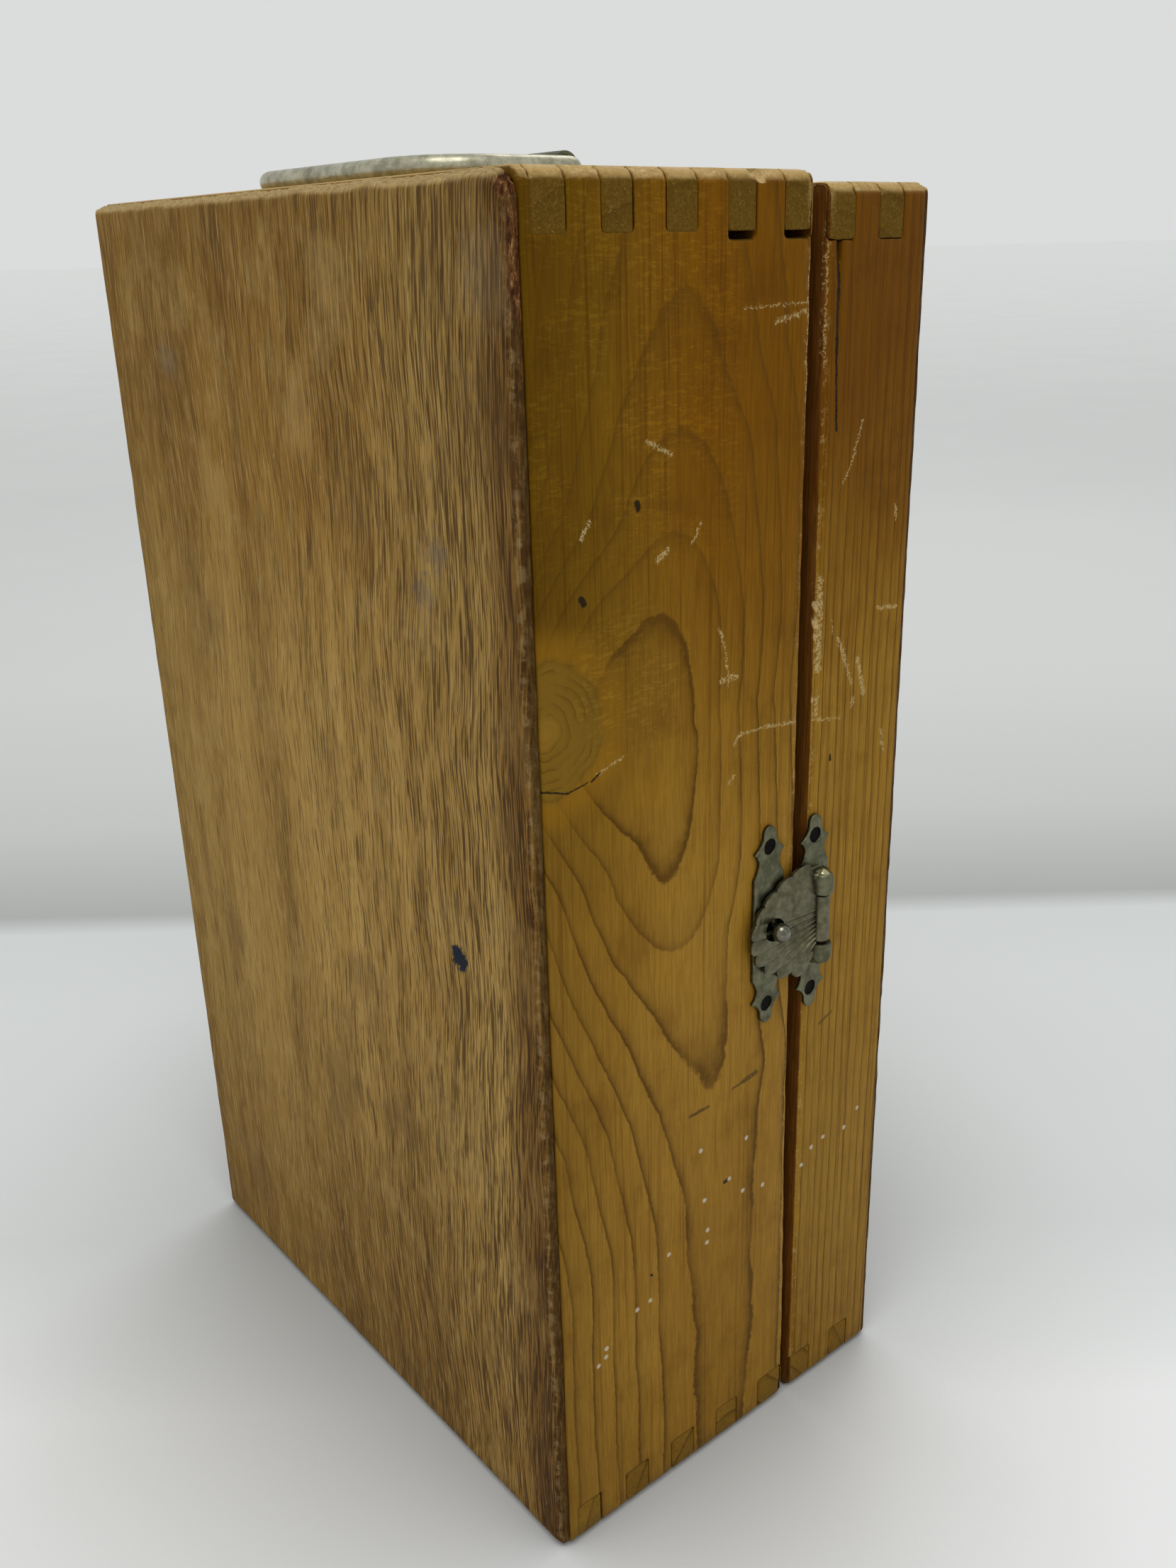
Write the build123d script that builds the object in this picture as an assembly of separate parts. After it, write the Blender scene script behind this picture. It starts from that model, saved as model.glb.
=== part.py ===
from build123d import *
import math
import os

# A finger-jointed wooden carrying case with a wind-up metronome built into its deep half.
# Millimetres. +Z is up, the lid faces -Y, the clasp is on -X and the lid hinges are on +X.
# The origin is the middle of the closed case's underside.

# ---------------------------------------------------------------- case
case_width = 146.0
case_height = 252.0
case_depth = 92.0
body_depth = 61.6
rim_gap = 3.2
lid_drop = 1.7
board = 9.0
panel = 2.2
edge_radius = 2.0
rim_radius = 0.5
finger_pitch = 12.7
finger = 6.2
first_finger = 4.0
lid_sliver = 0.5
shrink_gap = 1.2

half_width = case_width / 2
inner_half = half_width - board
back = case_depth / 2
front = -back
body_rim = back - body_depth
lid_rim = body_rim - rim_gap
lid_height = case_height - lid_drop
clasp_face = -half_width

# ---------------------------------------------------------------- clasp
sheet = 0.9
plate_half_height = 20.8
plate_half_width = 3.95
plate_waist = 2.7
barb_half_width = 4.1
nail_offset = 16.5
nail_head_radius = 1.5
nail_radius = 0.7
nail_length = 8.0
catch_y = -7.9
catch_z = 120.2
hasp_y = -20.4
hasp_z = 119.0
hasp_axis_x = clasp_face - sheet - 1.9
knuckle_radius = 1.7
knuckle_half = 5.0
hasp_pin_radius = 0.7
dome_radius = 2.3
dome_length = 5.0
leaf_reach = 18.7
leaf_half_height = 12.6
leaf_lobes = 10
leaf_hole_radius = 2.35
stud_ball_radius = 1.85
stud_shank_radius = 1.1
stud_ball_x = clasp_face - 4.1

# ---------------------------------------------------------------- carrying handle
wire_radius = 1.9
wire_z = case_height + wire_radius + 0.2
bail_half_width = 32.2
bail_reach = 30.6
bail_corner = 13.0
bail_turn = 3.2
bail_end = 17.0
saddle_inner = 19.0
saddle_outer = 28.8
saddle_sheet = 0.8
saddle_half_length = 12.0
saddle_screw_y = 8.2

# ---------------------------------------------------------------- lid hinges
hinge_axis_x = half_width + 2.0
hinge_axis_y = (body_rim + lid_rim) / 2
hinge_centres = (46.0, 204.0)
hinge_half_length = 19.0
hinge_knuckle_half = 6.5
hinge_leaf = 1.2
hinge_barrel_radius = 2.0
hinge_pin_radius = 0.8
hinge_screw_offset = 13.5

running_gap = 0.05
part_gap = 0.3

# ---------------------------------------------------------------- movement board and its scale
board_front = 5.0
dial_board = 3.0
dial_back = board_front + dial_board
batten = 8.0
scale_bottom = 104.0
scale_top = 226.0
scale_sheet = 0.6

# ---------------------------------------------------------------- movement
plate = 1.5
plate_left = -25.0
plate_right = 61.0
plate_bottom = 11.5
plate_top = 92.0
front_plate_y = dial_back
back_plate_y = 36.0
pillar_radius = 2.5
pillar_xs = (-19.0, 54.75)
pillar_zs = (17.0, 86.5)

great_teeth = 48
great_module = 0.85
second_teeth = 64
second_module = 0.65
pinion_leaves = 8
escape_teeth = 16
escape_radius = 15.0
ratchet_teeth = 16
ratchet_radius = 9.0
ratchet_root = 7.4

winding = (40.0, 38.0)
pendulum = (0.0, 80.0)
escape = (0.0, 59.0)
great_reach = (great_teeth + pinion_leaves) * great_module / 2
second_reach = (second_teeth + pinion_leaves) * second_module / 2

great_y = 20.0
great_sheet = 1.5
ratchet_y = 18.0
ratchet_sheet = 1.7
second_y = 13.5
train_sheet = 1.2
escape_y = 26.0
spring_y = 24.0
spring_width = 10.0
spring_sheet = 0.5
spring_first = 4.6
spring_growth = 1.34
spring_halves = 11

winding_radius = 2.0
pendulum_radius = 1.4
click_pivot_radius = 14.5
click_pivot_angle = 38.0

# ---------------------------------------------------------------- pendulum
rod_y = -0.75
rod_sheet = 1.5
rod_half_width = 2.0
rod_tip = 232.0
rod_notch_first = 112.0
rod_notch_step = 4.0
rod_notches = 28
bob_drop = 46.0
bob_radius = 17.0
bob_back = 2.5
bob_front = -7.5
weight_z = 170.0
weight_half_height = 7.0
weight_back = 1.6
weight_front = -4.6
pallet_reach = 8.0
pallet_spread = 65.0
clip_pivot = (9.0, 237.0)
clip_length = 14.6
clip_back = -3.0
clip_sheet = 0.8

parts = {}


# ---------------------------------------------------------------- shared shapes
def block(x0, x1, y0, y1, z0, z1):
    middle = Pos((x0 + x1) / 2, (y0 + y1) / 2, (z0 + z1) / 2)
    return middle * Box(abs(x1 - x0), abs(y1 - y0), abs(z1 - z0))


def rod_along_x(x0, x1, y, z, radius):
    return Pos((x0 + x1) / 2, y, z) * Rot(0, 90, 0) * Cylinder(radius, abs(x1 - x0))


def rod_along_y(y0, y1, at, radius):
    return Pos(at[0], (y0 + y1) / 2, at[1]) * Rot(90, 0, 0) * Cylinder(radius, abs(y1 - y0))


def rod_along_z(z0, z1, x, y, radius):
    return Pos(x, y, (z0 + z1) / 2) * Cylinder(radius, abs(z1 - z0))


def facing_front(outline, at, y_front, thickness, turn=0.0):
    """Stand a flat outline up at (x, z), with its front at y_front, turned as seen from the front."""
    stand = Plane((at[0], y_front + thickness, at[1]), x_dir=(1, 0, 0), z_dir=(0, -1, 0))
    return stand.location * (Rot(0, 0, turn) * extrude(outline, amount=thickness))


def facing_clasp(outline, y, z, height, thickness):
    """Lay a flat outline on the clasp side, with its underside at a height above the wood."""
    stand = Plane((clasp_face - height, y, z), x_dir=(0, -1, 0), z_dir=(-1, 0, 0))
    return stand.location * extrude(outline, amount=thickness)


def polar(radius, angle):
    return (radius * math.cos(math.radians(angle)), radius * math.sin(math.radians(angle)))


def aim(origin, target):
    """The angle from one (x, z) place to another, as seen from the front."""
    return math.degrees(math.atan2(target[1] - origin[1], target[0] - origin[0]))


def slotted_screw(seat, direction, length, radius, head_radius, head_height):
    """A round-headed screw: it sits on its seat, with the head standing out along direction."""
    shank = Pos(0, 0, -length / 2) * Cylinder(radius, length)
    head = Pos(0, 0, head_height / 2) * Cylinder(head_radius, head_height)
    head = fillet(head.edges().group_by(Axis.Z)[-1], head_height * 0.7)
    slot = Pos(0, 0, head_height) * Box(2.2 * head_radius, head_radius * 0.28, head_height * 0.7)
    return Plane(seat, z_dir=direction).location * (shank + head - slot)


def sunk_screw(seat, direction, length, radius, head_radius):
    """A countersunk screw whose slotted head is flush with its seat."""
    depth = head_radius - radius
    shank = Pos(0, 0, -length / 2) * Cylinder(radius, length)
    head = Pos(0, 0, -depth / 2) * Cone(radius, head_radius, depth)
    slot = Box(2.2 * head_radius, head_radius * 0.25, depth * 0.8)
    return Plane(seat, z_dir=direction).location * (shank + head - slot)


def fasten(name, solids, hosts):
    """Keep a set of like fasteners as one node, and open their holes in the pieces they hold."""
    parts[name] = Compound(children=solids)
    for host in hosts:
        for solid in solids:
            parts[host] -= solid


# ---------------------------------------------------------------- wooden case
def finger_spans(first_edge, count):
    """The front and back of each finger, counted forward from the back edge of the first."""
    edges = [first_edge - number * finger_pitch for number in range(count)]
    return [(edge - finger, edge) for edge in edges]


def end_board(spans, y_front, y_back, z_low, z_high):
    """A top or bottom board: its middle, and the fingers that reach both sides."""
    shape = block(-inner_half, inner_half, y_front, y_back, z_low, z_high)
    for near, far in spans:
        shape += block(-half_width, half_width, near, far, z_low, z_high)
    return shape


def side_board(spans, side, y_front, y_back, height):
    """A side board, with a pocket at the top and bottom for each finger of the end boards."""
    shape = block(side * inner_half, side * half_width, y_front, y_back, 0, height)
    for near, far in spans:
        for z_low in (0, height - board):
            shape -= block(side * inner_half, side * half_width, near, far, z_low, z_low + board)
    return shape


def rounded_hull(y_front, y_back, height, rim_y):
    """The outside of one half of the case: soft outer edges, and a crisper sawn rim."""
    shape = block(-half_width, half_width, y_front, y_back, 0, height)
    outer = shape.edges().filter_by(lambda edge: abs(edge.center().Y - rim_y) > 0.01)
    shape = fillet(outer, edge_radius)
    rim = shape.edges().filter_by(lambda edge: abs(edge.center().Y - rim_y) < 0.01)
    return fillet(rim, rim_radius)


def build_case_body():
    spans = finger_spans(back - first_finger, 5)
    inner_back = back - panel
    hull = rounded_hull(body_rim, back, case_height, body_rim)
    low = end_board(spans, body_rim, inner_back, 0, board)
    high = end_board(spans, body_rim, inner_back, case_height - board, case_height)
    clasp_side = side_board(spans, -1, body_rim, inner_back, case_height)
    # The two front pockets of the clasp side were cut deep, and show a dark slot below the finger.
    for near, far in spans[3:]:
        pocket_floor = case_height - board
        clasp_side -= block(-half_width, -inner_half, near, far, pocket_floor - shrink_gap, pocket_floor)
    parts["back_panel"] = block(-half_width, half_width, inner_back, back, 0, case_height) & hull
    parts["body_bottom_board"] = low & hull
    parts["body_top_board"] = high & hull
    parts["body_clasp_side"] = clasp_side & hull
    parts["body_hinge_side"] = side_board(spans, 1, body_rim, inner_back, case_height) & hull


def build_lid():
    spans = finger_spans(lid_rim - lid_sliver, 2)
    inner_front = front + panel
    hull = rounded_hull(front, lid_rim, lid_height, lid_rim)
    low = end_board(spans, inner_front, lid_rim, 0, board)
    high = end_board(spans, inner_front, lid_rim, lid_height - board, lid_height)
    # A shake in the grain runs down from the first finger.
    shake = Polyline((-0.5, 0), (0.5, 0), (1.2, -31), close=True)
    split = facing_clasp(make_face(shake), lid_rim - 3.2, lid_height - board, -2.5, 4.0)
    parts["lid_panel"] = block(-half_width, half_width, front, inner_front, 0, lid_height) & hull
    parts["lid_bottom_board"] = low & hull
    parts["lid_top_board"] = high & hull
    parts["lid_clasp_side"] = (side_board(spans, -1, inner_front, lid_rim, lid_height) & hull) - split
    parts["lid_hinge_side"] = side_board(spans, 1, inner_front, lid_rim, lid_height) & hull


# ---------------------------------------------------------------- clasp
def finial_half(side):
    """One side of a clasp plate's outline, from its middle up to its pointed tip."""
    shoulder = (side * plate_half_width, 10.6)
    waist = (side * plate_waist, 13.2)
    barb = (side * barb_half_width, 15.7)
    neck = (side * 1.6, 18.5)
    tip = (0, plate_half_height)
    return [
        Line((side * plate_half_width, 0), shoulder),
        ThreePointArc(shoulder, (side * 3.1, 12.0), waist),
        ThreePointArc(waist, (side * 3.1, 14.7), barb),
        ThreePointArc(barb, (side * 2.5, 16.8), neck),
        ThreePointArc(neck, (side * 1.2, 20.1), tip),
    ]


def clasp_outline():
    """The long plate with a spear point at each end, pierced for two nails."""
    base = Line((-plate_half_width, 0), (plate_half_width, 0))
    upper = make_face(Curve() + finial_half(-1) + finial_half(1) + base)
    outline = upper + mirror(upper, about=Plane.XZ)
    for end in (-1, 1):
        outline -= Pos(0, end * nail_offset) * Circle(nail_head_radius)
    return outline


def clasp_nails(y, z):
    nails = []
    for end in (-1, 1):
        at_z = z + end * nail_offset
        head = rod_along_x(clasp_face - 0.45, clasp_face, y, at_z, nail_head_radius)
        shank = rod_along_x(clasp_face, clasp_face + nail_length, y, at_z, nail_radius)
        nails.append(head + shank)
    return nails


def build_catch():
    parts["catch_plate"] = facing_clasp(clasp_outline(), catch_y, catch_z, 0, sheet)
    shank = rod_along_x(stud_ball_x, clasp_face + 6.0, catch_y, catch_z, stud_shank_radius)
    ball = Pos(stud_ball_x, catch_y, catch_z) * Rot(0, 90, 0) * Sphere(stud_ball_radius)
    fasten("catch_stud", [shank + ball], ["body_clasp_side", "catch_plate"])
    fasten("catch_nails", clasp_nails(catch_y, catch_z), ["body_clasp_side"])


def hinge_dome(end):
    """A raised eye at one end of the knuckle: it is pressed up from the plate and holds the pin."""
    inner = hasp_z + end * (knuckle_half + 0.3)
    outer = inner + end * (dome_length - dome_radius)
    barrel = rod_along_z(inner, outer, hasp_axis_x, hasp_y, dome_radius)
    cap = Pos(hasp_axis_x, hasp_y, outer) * Sphere(dome_radius)
    skirt_top = outer + end * dome_radius * 0.7
    skirt = block(clasp_face, hasp_axis_x, hasp_y - dome_radius, hasp_y + dome_radius, inner, skirt_top)
    wood = block(clasp_face, clasp_face + 10, hasp_y - 10, hasp_y + 10, inner - 20, inner + 20)
    return barrel + cap + skirt - wood


def shell_outline():
    """The scallop leaf: a fan of lobes round the knuckle, with its hole over the stud."""
    steps = leaf_lobes * 8
    edge = []
    for step in range(steps + 1):
        turn = math.radians(-82 + 164 * step / steps)
        lobe = abs(math.sin(math.pi * leaf_lobes * step / steps))
        grow = 0.955 + 0.045 * lobe
        edge.append((-leaf_reach * grow * math.cos(turn), leaf_half_height * grow * math.sin(turn)))
    stem_top = (0, knuckle_half)
    stem_bottom = (0, -knuckle_half)
    outline = make_face(Polyline(stem_top, stem_bottom, *edge, close=True))
    return outline - Pos(-(catch_y - hasp_y), catch_z - hasp_z) * Circle(leaf_hole_radius)


def build_hasp():
    plate_shape = facing_clasp(clasp_outline(), hasp_y, hasp_z, 0, sheet)
    pin_hole = rod_along_z(hasp_z - 9, hasp_z + 9, hasp_axis_x, hasp_y, hasp_pin_radius)
    for end in (-1, 1):
        plate_shape += hinge_dome(end) - pin_hole
    parts["hasp_hinge_plate"] = plate_shape
    parts["hasp_pin"] = pin_hole
    fasten("hasp_plate_nails", clasp_nails(hasp_y, hasp_z), ["lid_clasp_side"])
    leaf_height = clasp_face - hasp_axis_x - sheet / 2
    leaf = facing_clasp(shell_outline(), hasp_y, hasp_z, leaf_height, sheet)
    knuckle = rod_along_z(hasp_z - knuckle_half, hasp_z + knuckle_half, hasp_axis_x, hasp_y, knuckle_radius)
    bore_radius = hasp_pin_radius + running_gap
    bore = rod_along_z(hasp_z - 9, hasp_z + 9, hasp_axis_x, hasp_y, bore_radius)
    # The leaf stands clear of both eyes wherever it swings.
    for end in (-1, 1):
        eye_start = hasp_z + end * knuckle_half
        leaf -= rod_along_z(eye_start, eye_start + end * 12, hasp_axis_x, hasp_y, dome_radius + part_gap)
    parts["hasp_leaf"] = leaf + knuckle - bore


# ---------------------------------------------------------------- carrying handle
def handle_saddle(side):
    """A bent strap that holds one end of the bail down on the top board."""
    length = saddle_outer - saddle_inner
    rise = wire_z - case_height
    inner_radius = wire_radius + part_gap
    outer_radius = inner_radius + saddle_sheet
    foot = Pos(0, saddle_sheet / 2) * Rectangle(2 * saddle_half_length, saddle_sheet)
    arch = Pos(0, rise) * Circle(outer_radius) + Pos(0, rise / 2) * Rectangle(2 * outer_radius, rise)
    hollow = Pos(0, rise) * Circle(inner_radius) + Pos(0, rise / 2) * Rectangle(2 * inner_radius, rise)
    below = Pos(0, -5) * Rectangle(20, 10)
    outline = foot + arch - hollow - below
    start = saddle_inner if side > 0 else -saddle_outer
    stand = Plane((start, 0, case_height), x_dir=(0, 1, 0), z_dir=(1, 0, 0))
    return stand.location * extrude(outline, amount=length)


def build_handle():
    middle = (saddle_inner + saddle_outer) / 2
    screws = []
    for side, name in ((-1, "handle_saddle_left"), (1, "handle_saddle_right")):
        parts[name] = handle_saddle(side)
        for end in (-1, 1):
            seat = (side * middle, end * saddle_screw_y, case_height + saddle_sheet)
            screws.append(slotted_screw(seat, (0, 0, 1), 7.5, 1.1, 2.2, 1.3))
    saddles = ["handle_saddle_left", "handle_saddle_right"]
    fasten("handle_saddle_screws", screws, ["body_top_board"] + saddles)
    route = [
        (-bail_end, 0, wire_z),
        (-bail_half_width, 0, wire_z),
        (-bail_half_width, bail_reach, wire_z),
        (bail_half_width, bail_reach, wire_z),
        (bail_half_width, 0, wire_z),
        (bail_end, 0, wire_z),
    ]
    line = FilletPolyline(*route, radius=[bail_turn, bail_corner, bail_corner, bail_turn])
    section = Plane(route[0], z_dir=(-1, 0, 0)).location * Circle(wire_radius)
    parts["handle_bail"] = sweep(section, path=line)


# ---------------------------------------------------------------- lid hinges
def hinge_half_leaf(centre, rim_y, toward, outer_knuckles):
    """One leaf of a butt hinge: it lies on a rim and carries its own share of the barrel."""
    low = centre - hinge_half_length
    high = centre + hinge_half_length
    inner_low = centre - hinge_knuckle_half
    inner_high = centre + hinge_knuckle_half
    own = [(low, inner_low), (inner_high, high)] if outer_knuckles else [(inner_low, inner_high)]
    other = [(inner_low, inner_high)] if outer_knuckles else [(low, inner_low), (inner_high, high)]
    leaf = block(inner_half + 0.8, hinge_axis_x, rim_y, rim_y + toward * hinge_leaf, low, high)
    clearance = hinge_barrel_radius + part_gap
    for z_low, z_high in other:
        gap = 0.15 if outer_knuckles else 0.0
        leaf -= rod_along_z(z_low - gap, z_high + gap, hinge_axis_x, hinge_axis_y, clearance)
    for z_low, z_high in own:
        trim = 0.0 if outer_knuckles else 0.15
        leaf += rod_along_z(z_low + trim, z_high - trim, hinge_axis_x, hinge_axis_y, hinge_barrel_radius)
    if outer_knuckles:
        leaf -= rod_along_z(inner_low - 0.15, inner_high + 0.15, hinge_axis_x, hinge_axis_y, clearance)
    bore = hinge_pin_radius if outer_knuckles else hinge_pin_radius + running_gap
    return leaf - rod_along_z(low - 1, high + 1, hinge_axis_x, hinge_axis_y, bore)


def build_hinges():
    body_screws = []
    lid_screws = []
    screw_x = (inner_half + 0.8 + half_width) / 2
    for centre, place in zip(hinge_centres, ("lower", "upper")):
        parts["hinge_body_leaf_" + place] = hinge_half_leaf(centre, body_rim, -1, True)
        parts["hinge_lid_leaf_" + place] = hinge_half_leaf(centre, lid_rim, 1, False)
        low = centre - hinge_half_length
        high = centre + hinge_half_length
        parts["hinge_pin_" + place] = rod_along_z(low, high, hinge_axis_x, hinge_axis_y, hinge_pin_radius)
        for end in (-1, 1):
            z = centre + end * hinge_screw_offset
            body_seat = (screw_x, body_rim - hinge_leaf, z)
            lid_seat = (screw_x, lid_rim + hinge_leaf, z)
            body_screws.append(sunk_screw(body_seat, (0, -1, 0), 11.0, 1.1, 2.1))
            lid_screws.append(sunk_screw(lid_seat, (0, 1, 0), 11.0, 1.1, 2.1))
    fasten("hinge_body_screws", body_screws,
           ["body_hinge_side", "hinge_body_leaf_lower", "hinge_body_leaf_upper"])
    fasten("hinge_lid_screws", lid_screws,
           ["lid_hinge_side", "hinge_lid_leaf_lower", "hinge_lid_leaf_upper"])


# ---------------------------------------------------------------- movement board
def build_movement_board():
    floor = board
    ceiling = case_height - board
    shape = block(-inner_half, inner_half, board_front, dial_back, floor, ceiling)
    shape -= rod_along_y(board_front - 1, dial_back + 1, winding, winding_radius + 1.0)
    shape -= rod_along_y(board_front - 1, dial_back + 1, pendulum, pendulum_radius + 1.0)
    parts["movement_board"] = shape
    left_end = -inner_half + batten
    right_start = inner_half - batten
    batten_back = dial_back + batten
    parts["board_batten_left"] = block(-inner_half, left_end, dial_back, batten_back, floor, ceiling)
    parts["board_batten_right"] = block(right_start, inner_half, dial_back, batten_back, 100, ceiling)
    places = [(-1, 22), (-1, 126), (-1, 230), (1, 112), (1, 230)]
    screws = []
    for side, z in places:
        seat = (side * (inner_half - batten / 2), board_front, z)
        screws.append(slotted_screw(seat, (0, -1, 0), 9.0, 1.1, 2.3, 1.4))
    fasten("board_screws", screws, ["movement_board", "board_batten_left", "board_batten_right"])


def build_scale():
    low_half = 13.0
    high_half = 17.0
    corners = [
        (-low_half, scale_bottom),
        (low_half, scale_bottom),
        (high_half, scale_top),
        (-high_half, scale_top),
    ]
    outline = make_face(Polyline(*corners, close=True))
    outline = fillet(outline.vertices(), 3.0)
    scale_front = board_front - scale_sheet
    parts["tempo_scale"] = facing_front(outline, (0, 0), scale_front, scale_sheet)
    pins = []
    for side in (-1, 1):
        pin_places = ((low_half - 3.0, scale_bottom + 4.0), (high_half - 3.5, scale_top - 4.0))
        for x, z in pin_places:
            shank = rod_along_y(scale_front, dial_back, (side * x, z), 0.5)
            head = rod_along_y(scale_front - 0.4, scale_front, (side * x, z), 1.1)
            pins.append(shank + head)
    fasten("scale_pins", pins, ["tempo_scale", "movement_board"])


# ---------------------------------------------------------------- wheels
def toothed(teeth, module, spread):
    """A clock wheel's outline: spread gives half of a tooth at its root, pitch line and tip."""
    pitch_radius = teeth * module / 2
    root = pitch_radius - 1.2 * module
    tip = pitch_radius + 0.95 * module
    step = 360 / teeth
    profile = list(zip(spread, (root, pitch_radius, tip)))
    points = []
    for number in range(teeth):
        for half, radius in profile:
            points.append(polar(radius, (number - half) * step))
        for half, radius in reversed(profile):
            points.append(polar(radius, (number + half) * step))
    return make_face(Polyline(*points, close=True))


def wheel_outline(teeth, module):
    return toothed(teeth, module, (0.27, 0.21, 0.08))


def pinion_outline():
    return toothed(pinion_leaves, 1.0, (0.17, 0.16, 0.07))


def spokes(outer, hub, width):
    """The four windows that leave a cross of spokes between the hub and the rim."""
    ring = Circle(outer) - Circle(hub)
    return ring - Rectangle(width, 2 * outer) - Rectangle(2 * outer, width)


def meeting_point(first, first_reach, other, other_reach):
    """The place that lies at a given distance from two others, on the upper side of their line."""
    dx = other[0] - first[0]
    dz = other[1] - first[1]
    gap = math.hypot(dx, dz)
    along = (gap ** 2 + first_reach ** 2 - other_reach ** 2) / (2 * gap)
    across = math.sqrt(first_reach ** 2 - along ** 2)
    x = first[0] + (along * dx + across * dz) / gap
    z = first[1] + (along * dz - across * dx) / gap
    return (x, z)


second = meeting_point(winding, great_reach, escape, second_reach)


def arbor(at, y_front, y_back, radius, pivot):
    """A shaft between the plates, with a thinner pivot running in each."""
    body = rod_along_y(y_front, y_back, at, radius)
    return body + rod_along_y(y_front - plate, y_back + plate, at, pivot)


def pinion(at, module, y_front, length, turn):
    outline = scale(pinion_outline(), by=module)
    return facing_front(outline, at, y_front, length, turn)


def saw_wheel(teeth, tip, root, steep):
    """A wheel of leaning teeth: each has one steep face and one long slope."""
    step = 360 / teeth
    points = []
    for number in range(teeth):
        points.append(polar(root, number * step))
        points.append(polar(tip, (number + steep) * step))
        points.append(polar(tip, (number + steep + 0.06) * step))
    return make_face(Polyline(*points, close=True))


def build_winding_train():
    shaft = rod_along_y(-6.0, back_plate_y, winding, winding_radius)
    shaft += rod_along_y(back_plate_y, back_plate_y + plate, winding, 1.0)
    shaft += rod_along_y(spring_y, spring_y + spring_width, winding, 3.4)
    shaft += rod_along_y(great_y + great_sheet + 0.3, spring_y, winding, 3.0)
    parts["winding_arbor"] = shaft
    ratchet = saw_wheel(ratchet_teeth, ratchet_radius, ratchet_root, 0.94) - Circle(winding_radius)
    parts["ratchet_wheel"] = facing_front(ratchet, winding, ratchet_y, ratchet_sheet, -2.5)
    great_turn = aim(winding, second)
    great = wheel_outline(great_teeth, great_module) - Circle(winding_radius + running_gap)
    great -= Rot(0, 0, 25) * Pos(0, -13.5) * Circle(2.6)
    great -= Rot(0, 0, -25) * Pos(0, -13.5) * Circle(2.6)
    parts["great_wheel"] = facing_front(great, winding, great_y, great_sheet, great_turn)


def build_click():
    """The pawl on the great wheel, its screw and the curved spring that holds it down."""
    pivot = polar(click_pivot_radius, click_pivot_angle)
    place = (winding[0] + pivot[0], winding[1] + pivot[1])
    corners = [
        polar(7.75, 1.5),
        polar(9.5, 17),
        polar(12.4, 37),
        polar(16.6, 36),
        polar(12.6, 14),
        polar(9.7, 1.5),
    ]
    pawl = make_face(Polyline(*corners, close=True)) + Pos(*pivot) * Circle(2.3)
    pawl -= Pos(*pivot) * Circle(1.0 + running_gap)
    parts["click"] = facing_front(pawl, winding, ratchet_y, ratchet_sheet)
    screw_front = ratchet_y - 0.3
    screw = rod_along_y(screw_front, great_y + great_sheet, place, 1.0)
    screw += rod_along_y(screw_front - 0.9, screw_front, place, 1.9)
    fasten("click_screw", [screw], ["great_wheel"])
    band = Circle(18.3) - Circle(17.8)
    wedge = make_face(Polyline((0, 0), polar(40, 8), polar(60, 40), polar(40, 72), close=True))
    foot = Pos(*polar(17.6, 71)) * Circle(1.0)
    spring = facing_front((band & wedge) + foot, winding, ratchet_y + 0.3, great_y - ratchet_y - 0.3)
    parts["click_spring"] = spring


def build_going_train():
    to_great = aim(second, winding)
    half_leaf = 180 / pinion_leaves
    second_turn = aim(second, escape)
    drive = pinion(second, great_module, 18.6, 4.4, to_great + half_leaf)
    parts["second_arbor"] = arbor(second, dial_back + plate, back_plate_y, 1.2, 0.6) + drive
    second_flat = wheel_outline(second_teeth, second_module) - Circle(1.2) - spokes(18.0, 4.0, 2.4)
    parts["second_wheel"] = facing_front(second_flat, second, second_y, train_sheet, second_turn)
    to_second = aim(escape, second)
    last = pinion(escape, second_module, 12.2, 4.0, to_second + half_leaf)
    parts["escape_arbor"] = arbor(escape, dial_back + plate, back_plate_y, 1.0, 0.5) + last
    escape_flat = saw_wheel(escape_teeth, escape_radius, 12.2, 0.45) - Circle(1.0) - spokes(10.6, 3.2, 1.8)
    parts["escape_wheel"] = facing_front(escape_flat, escape, escape_y, train_sheet)


def build_mainspring():
    """An open spring, drawn as half turns about two centres, hooked round the lower right pillar."""
    x, z = winding
    band = None
    for number in range(spring_halves):
        upper = number % 2 == 0
        radius = spring_first + number * spring_growth
        shift = 0 if upper else -spring_growth
        ring = Circle(radius + spring_sheet / 2) - Circle(radius - spring_sheet / 2)
        half = Pos(0, radius if upper else -radius) * Rectangle(4 * radius, 2 * radius)
        piece = Pos(shift, 0) * (ring & half)
        band = piece if band is None else band + piece
    last_radius = spring_first + (spring_halves - 1) * spring_growth
    pillar = (pillar_xs[1] - x, pillar_zs[0] - z)
    loop_radius = last_radius - pillar[0]
    tail = Pos(last_radius, pillar[1] / 2) * Rectangle(spring_sheet, -pillar[1])
    loop = Circle(loop_radius + spring_sheet / 2) - Circle(pillar_radius)
    band = band + tail + Pos(*pillar) * loop
    parts["mainspring"] = facing_front(band, winding, spring_y, spring_width)


# ---------------------------------------------------------------- movement frame
def movement_plate(holes):
    width = plate_right - plate_left
    height = plate_top - plate_bottom
    middle = ((plate_left + plate_right) / 2, (plate_bottom + plate_top) / 2)
    outline = Pos(*middle) * RectangleRounded(width, height, 4.0)
    for at, radius in holes:
        outline -= Pos(*at) * Circle(radius + running_gap)
    return outline


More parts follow.
